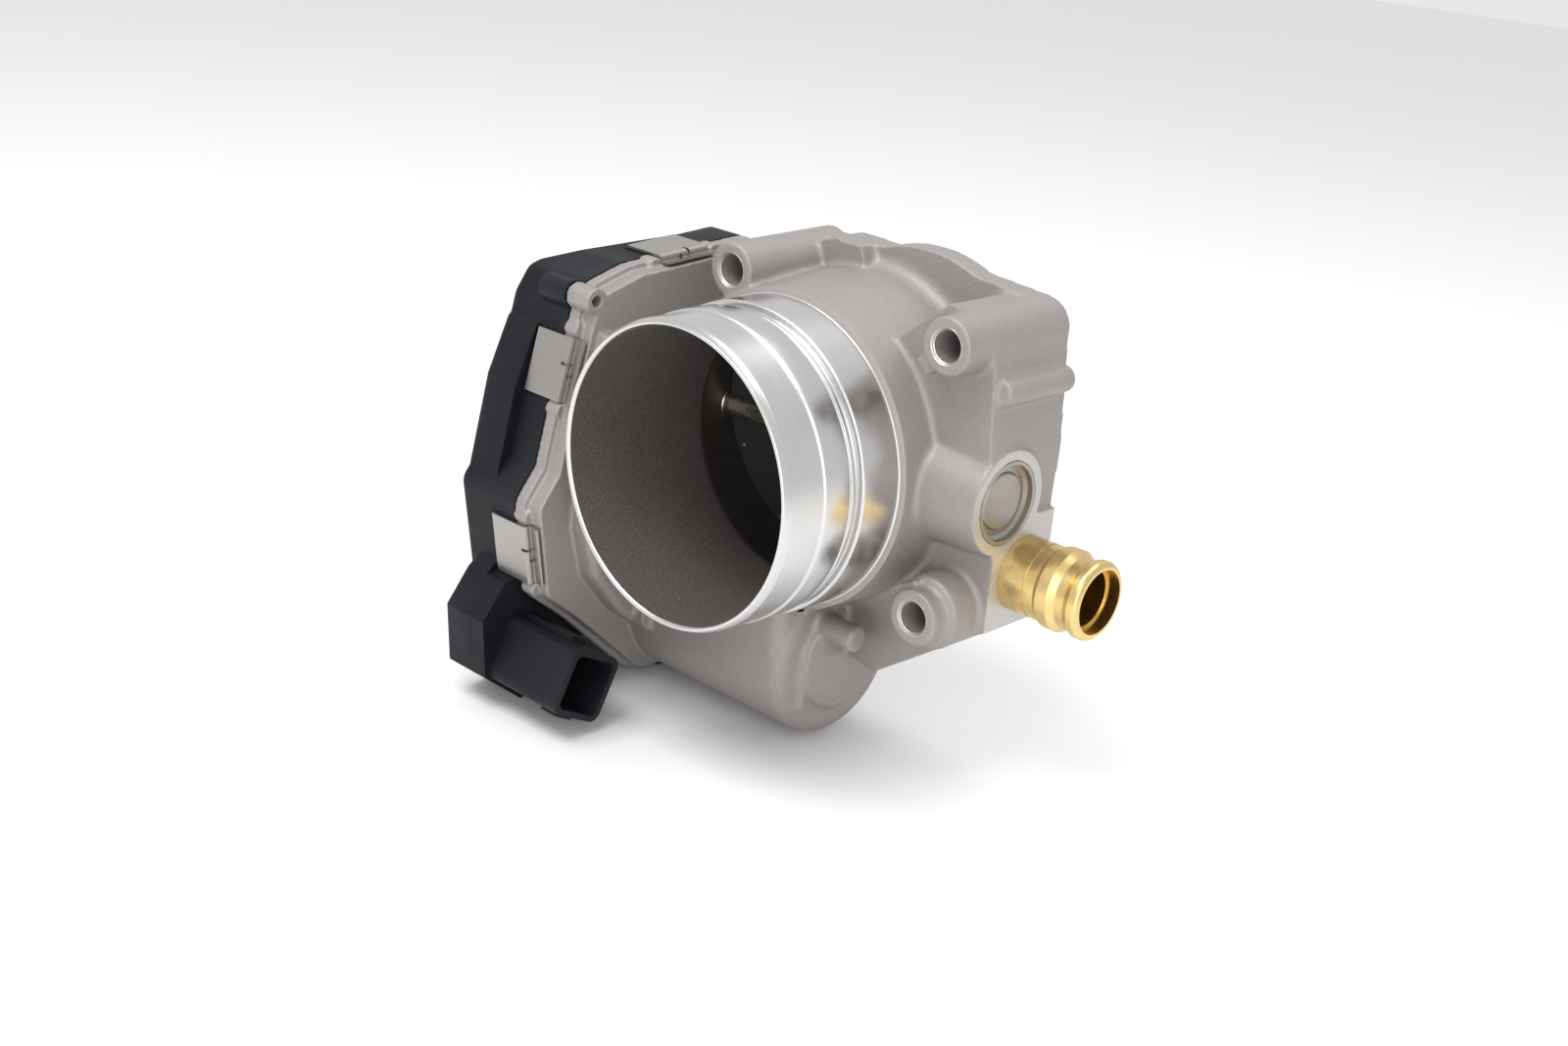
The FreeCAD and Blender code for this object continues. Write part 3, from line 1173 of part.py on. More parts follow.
def cover_clips():
    clips = [spring_clip(index, *spot) for index, spot in enumerate(CLIPS)]
    keep(group("clip_set", clips), "cover_clips")


def cover_electrics():
    """Sensor board under the cover's roof and its sensor chip."""
    board = box("board_blank", ("board_x", "shaft_y - 11", "-13"), ("1.6", "24", "26"))
    soft = rounded("board_soft", board, "2.5",
                   lambda edge: edge.BoundBox.YLength < 0.1 and edge.BoundBox.ZLength < 0.1)
    keep(soft, "sensor_board")
    keep(box("chip_block", ("board_x + 1.61", "shaft_y - 3.5", "-3"), ("1.6", "7", "6")), "sensor_chip")


# ---------------------------------------------------------------- build, check and write

def build():
    fill_sheet()
    housing()
    hose_nipple()
    core_plug()
    bearings_and_seals()
    outlet_seal()
    throttle_shaft()
    throttle_plate()
    plate_screws()
    sector, sector_phase = sector_gear()
    pinion_phase = idler_gear(sector_phase)
    idler_pin()
    shaft_gear_parts()
    return_spring()
    stop_screw()
    motor_shell()
    motor_end_plate()
    brush_gear()
    motor_screws()
    rotor(pinion_phase)
    gear_cover(connector_pins())
    cover_gasket()
    cover_clips()
    cover_electrics()
    doc.recompute()


def check():
    """Stop on any failed object or bad shape."""
    for item in doc.Objects:
        if "Invalid" in item.State or "Error" in item.State:
            raise RuntimeError("%s did not compute" % item.Label)
    for item in PARTS:
        if item.Shape.isNull() or not item.Shape.isValid():
            raise RuntimeError("%s has no valid shape" % item.Label)
        print("%-28s %2d solid(s) %10.1f mm3" % (item.Label, len(item.Shape.Solids), item.Shape.Volume))


def write():
    os.makedirs("parts", exist_ok=True)
    for item in PARTS:
        item.Shape.exportStep("parts/%s.step" % item.Label)


build()
check()
write()
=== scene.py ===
"""Studio scene of an electronic throttle body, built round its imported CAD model.

Row frame, metres: the origin is the centre of the bore on the rear mounting face,
+Y leaves that face, +Z is up and the gear case is on the -X side.
"""
import math
import bmesh
import bpy
from mathutils import Matrix, Vector


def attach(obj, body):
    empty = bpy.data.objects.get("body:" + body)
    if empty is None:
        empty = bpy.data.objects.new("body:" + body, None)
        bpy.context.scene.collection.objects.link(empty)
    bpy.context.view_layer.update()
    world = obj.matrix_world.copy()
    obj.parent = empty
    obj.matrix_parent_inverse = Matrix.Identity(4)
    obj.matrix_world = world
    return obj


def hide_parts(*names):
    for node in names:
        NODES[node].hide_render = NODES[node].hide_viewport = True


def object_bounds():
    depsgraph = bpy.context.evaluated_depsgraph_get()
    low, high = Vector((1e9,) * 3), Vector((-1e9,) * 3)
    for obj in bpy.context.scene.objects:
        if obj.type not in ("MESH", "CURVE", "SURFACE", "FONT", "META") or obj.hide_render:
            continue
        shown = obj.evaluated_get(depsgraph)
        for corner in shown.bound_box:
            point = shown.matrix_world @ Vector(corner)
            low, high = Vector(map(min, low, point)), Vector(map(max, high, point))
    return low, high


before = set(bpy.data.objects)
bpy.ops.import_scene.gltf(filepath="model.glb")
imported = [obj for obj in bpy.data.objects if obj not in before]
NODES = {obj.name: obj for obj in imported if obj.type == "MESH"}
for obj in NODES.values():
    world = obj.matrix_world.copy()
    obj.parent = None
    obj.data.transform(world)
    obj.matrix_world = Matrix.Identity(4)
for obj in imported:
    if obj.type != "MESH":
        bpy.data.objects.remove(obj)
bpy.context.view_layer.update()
MM = 0.001

# throat and hose seat: radii and y stations, millimetres
LIP_Y = -90.0
RIM_R = 43.9
BAND_R = 44.8
BEAD_R = 45.5
GROOVE_R = 44.0
RIDGE_R = 44.6
COLLAR_R = 46.2
TUBE_R = 48.1
TUBE_FRONT_Y = -45.2
HIDDEN_BORE_R = 43.2
BORE_R = 41.0
STEP_R = 41.25
MOUTH_R = 42.5
STEP_Y = -37.3
SLEEVE_HIDDEN_R = 44.0
SLEEVE_CORNER = 0.35
SLEEVE_SEGMENTS = 256

# how far past the sleeve the casting's hidden faces are removed, millimetres
TUBE_CLEARANCE = 0.4
COLLAR_CLEARANCE = 0.45
TUBE_FACE_DEPTH = 2.0

# bolt holes: (x, z) of each axis, millimetres
BOSS_Y = -44.4
BOLT_HOLES = [(-26.5, 48.1), (55.9, 45.4), (54.9, -34.4)]
BOLT_R = 4.5
BOLT_WALL = 1.15
BOLT_COUNTERSINK = 0.85
BOLT_SLEEVE_DEPTH = 18.0
BOLT_CORNER = 0.15
BOLT_SEGMENTS = 64

# shaft and the edge of its hole in the bore, millimetres
SHAFT_Y = -23.5
RING_INNER_R = 4.42
RING_MOUTH_R = 5.1
RING_OUTER_R = 5.25
RING_SEGMENTS = 48

# small heads on the plate: (x, z) of each, millimetres
DOT_R = 0.9
DOT_SEGMENTS = 20
DOTS = [(-36.0, -12.9), (-18.6, -28.6), (-20.6, -33.0)]

# casting mesh: grid in metres, fillets in millimetres
VOXEL = 0.0005
FILLET = 0.8
FILLETS_RIGHT_OF_X = -48.5
FILLETS_AHEAD_OF_Y = -4.5
SMOOTHING_PASSES = 2
KEPT_FACES = 0.3

# machined planes of the casting: (axis, outward sign, coordinate in mm)
MACHINED_PLANES = [(0, 1, 68.0), (1, 1, 0.0), (0, -1, -60.0)]

# camera at the photograph's viewpoint, degrees and millimetres
AZIMUTH, ELEVATION, ROLL = 41.85, 20.5, 5.1
CAMERA_AIM = (0.0, -90.0, 0.0)
CAMERA_OFFSET = (32.03, -12.39, 544.85)
LENS_MM = 45.0

# studio, metres and watts
FLOOR_SIZE = 6.0
FLOOR_GAP = 0.0005
SURROUNDINGS_STRENGTH = 0.8
LIGHT_AIM = (0.0, -0.05, 0.0)
LIGHTS = [
    ("key", (-0.05, -0.60, 1.0), 9.0, (0.8, 0.5)),
    ("right_fill", (0.85, -0.75, 0.35), 3.6, (0.6, 0.8)),
    ("top", (0.1, 0.3, 1.0), 3.0, (0.9, 0.6)),
]


# ---------------------------------------------------------------- materials

class Recipe:
    """A node material, built up from object coordinates."""

    def __init__(self, name, colour, metallic, roughness):
        self.material = bpy.data.materials.new(name)
        self.material.use_nodes = True
        self.tree = self.material.node_tree
        self.shader = self.tree.nodes["Principled BSDF"]
        self.set("Base Color", (*colour, 1.0))
        self.set("Metallic", metallic)
        self.set("Roughness", roughness)
        self.place = self.node("ShaderNodeTexCoord").outputs["Object"]
        self.height = None
        self.colour = None

    def node(self, kind, **settings):
        """A new node with these settings."""
        made = self.tree.nodes.new(kind)
        for key, value in settings.items():
            setattr(made, key, value)
        return made

    def join(self, source, target):
        self.tree.links.new(source, target)

    def set(self, name, value):
        self.shader.inputs[name].default_value = value

    def put(self, target, value):
        """Link an output or write a number into an input."""
        if isinstance(value, bpy.types.NodeSocket):
            self.join(value, target)
        else:
            target.default_value = value

    def math(self, operation, first, second=0.0):
        """Result of one arithmetic step."""
        made = self.node("ShaderNodeMath", operation=operation)
        for slot, value in zip(made.inputs, (first, second)):
            self.put(slot, value)
        return made.outputs[0]

    def noise(self, scale, detail=2.0, stretch=(1, 1, 1), roughness=0.5):
        """Noise value of the object's place, optionally stretched along the axes."""
        mapping = self.node("ShaderNodeMapping")
        self.join(self.place, mapping.inputs["Vector"])
        mapping.inputs["Scale"].default_value = stretch
        made = self.node("ShaderNodeTexNoise")
        self.join(mapping.outputs[0], made.inputs["Vector"])
        made.inputs["Scale"].default_value = scale
        made.inputs["Detail"].default_value = detail
        made.inputs["Roughness"].default_value = roughness
        return made.outputs[0]

    def specks(self, scale, size):
        """1 in small round specks, 0 elsewhere."""
        made = self.node("ShaderNodeTexVoronoi")
        self.join(self.place, made.inputs["Vector"])
        made.inputs["Scale"].default_value = scale
        return self.span(made.outputs["Distance"], size, size * 0.5)

    def span(self, value, low, high, to_low=0.0, to_high=1.0):
        """Map low..high to to_low..to_high, clamped."""
        made = self.node("ShaderNodeMapRange")
        for slot, number in zip(made.inputs, (value, low, high, to_low, to_high)):
            self.put(slot, number)
        return made.outputs[0]

    def tint(self, mask, colour, amount=1.0):
        """Lay a colour over the present one where mask is 1."""
        made = self.node("ShaderNodeMix", data_type="RGBA")
        self.put(made.inputs[0], self.math("MULTIPLY", mask, amount))
        first, second = [slot for slot in made.inputs if slot.type == "RGBA"][:2]
        if self.colour is None:
            first.default_value = self.shader.inputs["Base Color"].default_value
        else:
            self.join(self.colour, first)
        second.default_value = (*colour, 1.0)
        self.colour = [slot for slot in made.outputs if slot.type == "RGBA"][0]
        self.join(self.colour, self.shader.inputs["Base Color"])

    def bump(self, height, distance, strength=1.0):
        """Add one layer of relief; distance in metres."""
        made = self.node("ShaderNodeBump")
        self.join(height, made.inputs["Height"])
        made.inputs["Distance"].default_value = distance
        made.inputs["Strength"].default_value = strength
        if self.height is not None:
            self.join(self.height, made.inputs["Normal"])
        self.height = made.outputs[0]
        self.join(self.height, self.shader.inputs["Normal"])

    def edges(self, low, high):
        """1 on convex edges."""
        pointed = self.node("ShaderNodeNewGeometry").outputs["Pointiness"]
        return self.span(pointed, low, high)


def metal_grain(recipe, fine, coarse):
    """Two sizes of surface grain for blasted or cast metal."""
    recipe.bump(recipe.noise(fine, 3.0), 0.00009, 0.55)
    recipe.bump(recipe.noise(coarse, 2.0), 0.0004, 0.22)


def flat_mask(recipe, planes):
    """1 on flat faces that lie in one of the planes and look its way, 0 elsewhere."""
    geometry = recipe.node("ShaderNodeNewGeometry")
    facing = recipe.node("ShaderNodeSeparateXYZ")
    place = recipe.node("ShaderNodeSeparateXYZ")
    recipe.join(geometry.outputs["True Normal"], facing.inputs[0])
    recipe.join(recipe.place, place.inputs[0])
    first_facing = 0.975
    full_facing = 0.99
    first_gap = 0.6 * MM
    full_gap = 0.35 * MM
    total = None
    for axis, sign, coordinate in planes:
        outward = recipe.math("MULTIPLY", facing.outputs[axis], sign)
        turned = recipe.span(outward, first_facing, full_facing)
        offset = recipe.math("SUBTRACT", place.outputs[axis], coordinate * MM)
        near = recipe.span(recipe.math("ABSOLUTE", offset), first_gap, full_gap)
        both = recipe.math("MULTIPLY", turned, near)
        total = both if total is None else recipe.math("MAXIMUM", total, both)
    return total


def cast_aluminium():
    """Blasted casting: mottled, speckled, paler on its edges, brighter where machined."""
    recipe = Recipe("cast_aluminium", (0.295, 0.273, 0.265), 0.35, 0.5)
    recipe.tint(recipe.noise(60.0, 3.0), (0.25, 0.231, 0.224), 0.55)
    recipe.tint(recipe.span(recipe.noise(1800.0, 2.0), 0.42, 0.62), (0.38, 0.36, 0.35), 0.30)
    recipe.tint(recipe.specks(900.0, 0.16), (0.16, 0.148, 0.142), 0.35)
    recipe.tint(recipe.edges(0.52, 0.60), (0.44, 0.42, 0.41), 0.35)
    machined = flat_mask(recipe, MACHINED_PLANES)
    recipe.tint(machined, (0.50, 0.49, 0.48), 0.85)
    recipe.join(recipe.span(machined, 0, 1, 0.35, 0.6), recipe.shader.inputs["Metallic"])
    recipe.join(recipe.span(machined, 0, 1, 0.5, 0.36), recipe.shader.inputs["Roughness"])
    metal_grain(recipe, 2600.0, 420.0)
    return recipe.material


def turned_metal(name, colour, roughness, axis="Y", lines=6500.0, depth=0.000012):
    """Lathe-turned metal: fine rings round the axis and stretched highlights."""
    recipe = Recipe(name, colour, 1.0, roughness)
    stretch = (0.02, 1.0, 0.02) if axis == "Y" else (1.0, 0.02, 0.02)
    rings = recipe.noise(lines, 3.0, stretch, 0.7)
    broad = recipe.noise(lines * 0.12, 2.0, stretch)
    recipe.tint(broad, [value * 0.9 for value in colour], 0.6)
    rough = recipe.span(rings, 0.3, 0.7, roughness * 0.85, roughness * 1.15)
    recipe.join(rough, recipe.shader.inputs["Roughness"])
    recipe.bump(rings, depth, 0.12)
    recipe.set("Anisotropic", 0.65)
    tangent = recipe.node("ShaderNodeTangent", direction_type="RADIAL", axis=axis)
    recipe.join(tangent.outputs[0], recipe.shader.inputs["Tangent"])
    return recipe.material


def rough_throat():
    """Dark, dull casting skin inside the throat, with pale specks."""
    recipe = Recipe("rough_throat", (0.085, 0.077, 0.072), 0.0, 0.92)
    recipe.set("Specular IOR Level", 0.12)
    recipe.tint(recipe.noise(45.0, 3.0), (0.07, 0.063, 0.058), 0.7)
    recipe.tint(recipe.span(recipe.noise(2600.0, 1.0), 0.50, 0.62), (0.17, 0.16, 0.15), 0.5)
    recipe.tint(recipe.specks(950.0, 0.12), (0.42, 0.41, 0.40), 0.55)
    metal_grain(recipe, 2400.0, 500.0)
    return recipe.material


def moulded_plastic(name, colour, roughness=0.42, grain=1500.0, metallic=0.0):
    """Satin moulding: fine spark-eroded texture and slightly paler worn edges."""
    recipe = Recipe(name, colour, metallic, roughness)
    recipe.set("Specular IOR Level", 0.14)
    paler = [min(1.0, value * 1.7 + 0.008) for value in colour]
    recipe.tint(recipe.noise(35.0, 3.0), [value * 0.8 for value in colour], 0.5)
    recipe.tint(recipe.edges(0.52, 0.62), paler, 0.6)
    rough = recipe.span(recipe.noise(90.0, 2.0), 0.3, 0.7, roughness - 0.06, roughness + 0.08)
    recipe.join(rough, recipe.shader.inputs["Roughness"])
    recipe.bump(recipe.noise(grain, 2.0), 0.00005, 0.5)
    return recipe.material


def sheet_metal(name, colour, roughness=0.36, metallic=0.9, stretch=(1.0, 0.06, 1.0)):
    """Rolled or ground metal with fine straight grain."""
    recipe = Recipe(name, colour, metallic, roughness)
    grain = recipe.noise(1700.0, 3.0, stretch, 0.65)
    recipe.tint(grain, [value * 0.78 for value in colour], 0.5)
    recipe.tint(recipe.noise(120.0, 2.0), [value * 0.9 for value in colour], 0.5)
    recipe.tint(recipe.edges(0.53, 0.62), [min(1.0, value * 1.25) for value in colour], 0.5)
    rough = recipe.span(grain, 0.3, 0.7, roughness - 0.07, roughness + 0.1)
    recipe.join(rough, recipe.shader.inputs["Roughness"])
    recipe.bump(grain, 0.00003, 0.4)
    return recipe.material


def rubber(name, colour):
    """Dull moulded rubber."""
    recipe = Recipe(name, colour, 0.0, 0.6)
    recipe.tint(recipe.noise(300.0, 3.0), [value * 2.2 for value in colour], 0.4)
    recipe.bump(recipe.noise(1400.0, 2.0), 0.00006, 0.5)
    return recipe.material


def node_materials():
    """Material of every CAD node that stays visible, by node name."""
    ground = sheet_metal("ground_steel", (0.36, 0.31, 0.27), 0.28)
    bearing = sheet_metal("bearing_steel", (0.62, 0.62, 0.63), 0.16, 1.0)
    zinc = sheet_metal("zinc_sheet", (0.58, 0.57, 0.55), 0.34)
    clip = sheet_metal("clip_sheet", (0.34, 0.325, 0.31), 0.33, 0.9)
    plug = sheet_metal("plug_sheet", (0.36, 0.335, 0.305), 0.36, 0.9)
    spring = sheet_metal("spring_wire", (0.20, 0.19, 0.18), 0.35)
    screw = sheet_metal("screw_steel", (0.40, 0.39, 0.38), 0.32)
    plate = sheet_metal("plate_coating", (0.034, 0.034, 0.034), 0.5, 0.2)
    seal = rubber("seal_rubber", (0.03, 0.03, 0.032))
    gear = moulded_plastic("gear_moulding", (0.62, 0.58, 0.48), 0.45)
    dark = moulded_plastic("dark_moulding", (0.05, 0.048, 0.045), 0.5)
    ferrite = moulded_plastic("ferrite", (0.05, 0.05, 0.055), 0.5, 900.0, 0.4)
    bronze = sheet_metal("sintered_bronze", (0.42, 0.28, 0.13), 0.5, 0.8, (1, 1, 1))
    copper = sheet_metal("contact_copper", (0.72, 0.42, 0.24), 0.3, 1.0)
    winding = sheet_metal("enamelled_wire", (0.50, 0.17, 0.05), 0.3, 0.8, (0.05, 1.0, 1.0))
    steel = sheet_metal("laminations", (0.28, 0.28, 0.30), 0.4, 0.9, (1.0, 0.03, 0.03))
    brass = turned_metal("turned_brass", (0.78, 0.58, 0.25), 0.27, "X", depth=0.000003)
    black = moulded_plastic("cover_moulding", (0.0085, 0.0095, 0.0125), 0.5)
    board = moulded_plastic("board_laminate", (0.03, 0.15, 0.07), 0.3)
    return {
        "hose_nipple": brass, "core_plug": plug, "right_needle_bearing": bearing,
        "left_bearing_outer_race": bearing, "left_bearing_inner_race": bearing,
        "bearing_balls": bearing, "right_shaft_seal": seal, "left_shaft_seal": seal,
        "outlet_seal": seal, "throttle_shaft": ground, "throttle_plate": plate,
        "plate_screws": screw, "sector_gear": gear, "idler_gear": gear, "idler_pin": ground,
        "drive_insert": screw, "sensor_rotor": dark, "sensor_magnet": ferrite,
        "return_spring": spring, "closed_stop_screw": screw, "motor_can": zinc,
        "motor_magnets": ferrite, "motor_rear_bush": bronze, "motor_spring_washer": spring,
        "motor_end_plate": zinc, "brush_card": dark, "motor_brushes": dark,
        "motor_front_bush": bronze, "motor_terminals": copper, "motor_screws": screw,
        "motor_shaft": ground, "armature_core": steel, "armature_windings": winding,
        "commutator": copper, "motor_pinion": brass, "gear_cover": black, "cover_gasket": seal,
        "cover_clips": clip, "sensor_board": board, "sensor_chip": dark, "connector_pins": copper,
    }


def dress(obj, *materials):
    """Give an object these materials; each face keeps its slot number."""
    slots = obj.data.materials
    for index, material in enumerate(materials):
        if index < len(slots):
            slots[index] = material
        else:
            slots.append(material)


# ---------------------------------------------------------------- mesh helpers

def link_mesh(name, mesh):
    """A new object in the scene, holding the mesh."""
    obj = bpy.data.objects.new(name, mesh)
    bpy.context.scene.collection.objects.link(obj)
    return obj


def smooth(mesh, sharp_degrees=35.0):
    """Smooth shading, but sharp where faces meet at more than this angle."""
    mesh.shade_smooth()
    mesh.set_sharp_from_angle(angle=math.radians(sharp_degrees))


def soften(points, radius):
    """Closed profile with each marked corner replaced by a short arc of chords."""
    chords = 4
    longest_share = 0.45
    out = []
    count = len(points)
    for index, (here, marked) in enumerate(points):
        if not marked:
            out.append(here)
            continue
        middle = Vector(here)
        before = Vector(points[index - 1][0]) - middle
        after = Vector(points[(index + 1) % count][0]) - middle
        reach = min(radius, before.length * longest_share, after.length * longest_share)
        first = middle + before.normalized() * reach
        last = middle + after.normalized() * reach
        for step in range(chords + 1):
            t = step / chords
            point = first * (1 - t) ** 2 + middle * (2 * t * (1 - t)) + last * t ** 2
            out.append((point.x, point.y))
    return out


def lathe(name, profile, base, axis, segments, slots=None):
    """Solid of revolution from a closed profile of (radius, along), in mm.

    slots, if given, names the material slot of the stretch between two profile points.
    """
    directions = {
        "Y": (Vector((1, 0, 0)), Vector((0, 0, 1)), Vector((0, 1, 0))),
        "X": (Vector((0, 1, 0)), Vector((0, 0, 1)), Vector((1, 0, 0))),
    }
    across, up, along = directions[axis]
    bm = bmesh.new()
    rings = []
    for step in range(segments):
        angle = 2 * math.pi * step / segments
        outward = across * math.cos(angle) + up * math.sin(angle)
        rings.append([bm.verts.new((Vector(base) + outward * radius + along * height) * MM)
                      for radius, height in profile])
    for step in range(segments):
        near, far = rings[step], rings[(step + 1) % segments]
        for index in range(len(profile)):
            following = (index + 1) % len(profile)
            face = bm.faces.new((near[index], near[following], far[following], far[index]))
            if slots:
                face.material_index = slots(profile[index], profile[following])
    bmesh.ops.recalc_face_normals(bm, faces=bm.faces)
    mesh = bpy.data.meshes.new(name)
    bm.to_mesh(mesh)
    bm.free()
    smooth(mesh)
    return link_mesh(name, mesh)


def applied(obj):
    """The object's mesh with its modifiers applied, as a new mesh."""
    graph = bpy.context.evaluated_depsgraph_get()
    return bpy.data.meshes.new_from_object(obj.evaluated_get(graph))


def remeshed(mesh, voxel, moves=()):
    """The mesh remade on a grid: once before each push along its normals, and once at the end.

    voxel is in metres and moves are in mm.
    """
    work = link_mesh("work", mesh)
    for index, move in enumerate(list(moves) + [None]):
        again = work.modifiers.new("grid%d" % index, "REMESH")
        again.mode = "VOXEL"
        again.voxel_size = voxel
        if move is not None:
            push = work.modifiers.new("push%d" % index, "DISPLACE")
            push.mid_level = 0.0
            push.strength = move * MM
    result = applied(work)
    bpy.data.objects.remove(work)
    return result


def kept_half(bm, point, normal):
    """Keep what lies on the normal's side of a plane and close the cut."""
    everything = bm.verts[:] + bm.edges[:] + bm.faces[:]
    plane = {"plane_co": point, "plane_no": normal}
    cut = bmesh.ops.bisect_plane(bm, geom=everything, clear_inner=True, **plane)
    rim = [item for item in cut["geom_cut"] if isinstance(item, bmesh.types.BMEdge)]
    bmesh.ops.holes_fill(bm, edges=rim)


# ---------------------------------------------------------------- pieces

def filleted_casting():
    """Housing mesh with the concave corners of its cast side filled to soft fillets."""
    source = applied(NODES["housing"])
    closed = remeshed(source, VOXEL, (FILLET, -FILLET))
    bm = bmesh.new()
    bm.from_mesh(closed)
    kept_half(bm, (FILLETS_RIGHT_OF_X * MM, 0, 0), (1, 0, 0))
    kept_half(bm, (0, FILLETS_AHEAD_OF_Y * MM, 0), (0, -1, 0))
    bm.from_mesh(source)
    both = bpy.data.meshes.new("casting")
    bm.to_mesh(both)
    bm.free()
    return remeshed(both, VOXEL)


def under_sleeve(point):
    """Whether a point of the casting, in mm, lies under the machined sleeve."""
    radius = math.hypot(point.x, point.z)
    if point.y > TUBE_FRONT_Y:
        return radius < HIDDEN_BORE_R
    if point.y > TUBE_FRONT_Y - TUBE_FACE_DEPTH:
        return radius < TUBE_R + TUBE_CLEARANCE
    return radius < COLLAR_R + COLLAR_CLEARANCE


def thinned(mesh, ratio):
    """The mesh with the flattest of its faces merged, down to a share of their number."""
    work = link_mesh("work", mesh)
    fewer = work.modifiers.new("fewer", "DECIMATE")
    fewer.ratio = ratio
    result = applied(work)
    bpy.data.objects.remove(work)
    return result


def casting(metal):
    """Blasted casting: everything of the housing but its machined throat."""
    mesh = filleted_casting()
    bm = bmesh.new()
    bm.from_mesh(mesh)
    every_axis = {"use_axis_x": True, "use_axis_y": True, "use_axis_z": True}
    for _ in range(SMOOTHING_PASSES):
        bmesh.ops.smooth_vert(bm, verts=bm.verts, factor=0.5, **every_axis)
    hidden = [face for face in bm.faces if under_sleeve(face.calc_center_median() / MM)]
    bmesh.ops.delete(bm, geom=hidden, context="FACES")
    bm.to_mesh(mesh)
    bm.free()
    mesh = thinned(mesh, KEPT_FACES)
    smooth(mesh, 60.0)
    mesh.name = "housing_casting"
    piece = link_mesh("housing_casting", mesh)
    dress(piece, metal)
    return piece


def throat_profile():
    """((radius, y), whether rounded): from the rear face round the lip and back inside."""
    band_y = LIP_Y + 2.3
    bead_y = LIP_Y + 15.3
    bead_end_y = LIP_Y + 25.2
    ridge_y = LIP_Y + 26.7
    ridge_end_y = LIP_Y + 27.9
    collar_y = LIP_Y + 29.4
    return [
        ((SLEEVE_HIDDEN_R, 0.03), 0), ((SLEEVE_HIDDEN_R, -43.0), 0),
        ((TUBE_R - 1.0, -44.2), 0), ((TUBE_R + 0.06, -44.95), 0),
        ((COLLAR_R + COLLAR_CLEARANCE, -45.65), 0), ((COLLAR_R, -45.9), 1),
        ((COLLAR_R, collar_y + 0.5), 1), ((COLLAR_R - 0.5, collar_y), 1),
        ((GROOVE_R, collar_y), 1), ((GROOVE_R, ridge_end_y + 0.3), 1),
        ((RIDGE_R, ridge_end_y), 1), ((RIDGE_R, ridge_y), 1),
        ((GROOVE_R, ridge_y - 0.3), 1), ((GROOVE_R, bead_end_y), 1),
        ((BEAD_R - 0.6, bead_end_y), 1), ((BEAD_R, bead_end_y - 0.6), 1),
        ((BEAD_R, bead_y), 1), ((BAND_R, bead_y - 0.7), 1),
        ((BAND_R, band_y), 1), ((RIM_R, LIP_Y), 1),
        ((MOUTH_R + 0.6, LIP_Y), 1), ((MOUTH_R, LIP_Y + 0.8), 1),
        ((STEP_R, STEP_Y), 1), ((BORE_R, STEP_Y + 0.6), 1),
        ((BORE_R, -0.3), 0), ((BORE_R + 0.3, 0.03), 0),
    ]


def throat_slot(start, stop):
    """Material of a stretch of the throat: 0 turned outside, 1 rough inside, 2 bore, 3 cast."""
    outermost = max(start[0], stop[0])
    if outermost > COLLAR_R + 0.5:
        return 3
    if outermost > MOUTH_R + 0.2:
        return 0
    return 1 if (start[1] + stop[1]) / 2 < STEP_Y - 0.3 else 2


def throat(metal):
    """Machined sleeve of the housing: turned outside, rough throat, step and bore."""
    outline = soften(throat_profile(), SLEEVE_CORNER)
    piece = lathe("housing_throat", outline, (0, 0, 0), "Y", SLEEVE_SEGMENTS, throat_slot)
    collar = turned_metal("turned_collar", (0.66, 0.653, 0.65), 0.24)
    bore = turned_metal("turned_bore", (0.30, 0.27, 0.25), 0.5)
    dress(piece, collar, rough_throat(), bore, metal)
    return piece


def bolt_sleeves():
    """Drilled walls of the bolt holes with their bright countersunk mouths."""
    metal = turned_metal("drilled_holes", (0.50, 0.49, 0.48), 0.34)
    profile = soften([
        ((BOLT_R, BOLT_SLEEVE_DEPTH), 0), ((BOLT_R, 0.75), 0),
        ((BOLT_R + BOLT_COUNTERSINK, -0.05), 1),
        ((BOLT_R + BOLT_WALL, 0.3), 0), ((BOLT_R + BOLT_WALL, BOLT_SLEEVE_DEPTH), 0),
    ], BOLT_CORNER)
    made = []
    for index, (x, z) in enumerate(BOLT_HOLES):
        sleeve = lathe("bolt_sleeve_%d" % index, profile, (x, BOSS_Y, z), "Y", BOLT_SEGMENTS)
        dress(sleeve, metal)
        made.append(sleeve)
    return made


def plate_dots():
    """Three small domed heads that stand on the plate's upstream face."""
    steel = sheet_metal("dot_steel", (0.22, 0.22, 0.23), 0.4)
    plate = NODES["throttle_plate"]
    to_plate = plate.matrix_world.inverted()
    profile = [
        (0.01, 0.4), (DOT_R, 0.4), (DOT_R, 0.0),
        (DOT_R * 0.8, -0.25), (DOT_R * 0.45, -0.38), (0.01, -0.42),
    ]
    for index, (x, z) in enumerate(DOTS):
        origin = to_plate @ (Vector((x, LIP_Y, z)) * MM)
        hit, spot, normal, _ = plate.ray_cast(origin, to_plate.to_3x3() @ Vector((0, 1, 0)))
        if not hit:
            raise RuntimeError("the plate was not found under dot %d" % index)
        dot = lathe("plate_dot_%d" % index, profile, (0, 0, 0), "Y", DOT_SEGMENTS)
        outward = (plate.matrix_world.to_3x3() @ normal).normalized()
        turn = Vector((0, -1, 0)).rotation_difference(outward).to_matrix().to_4x4()
        dot.matrix_world = Matrix.Translation(plate.matrix_world @ spot) @ turn
        dress(dot, steel)
        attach(dot, "throttle")


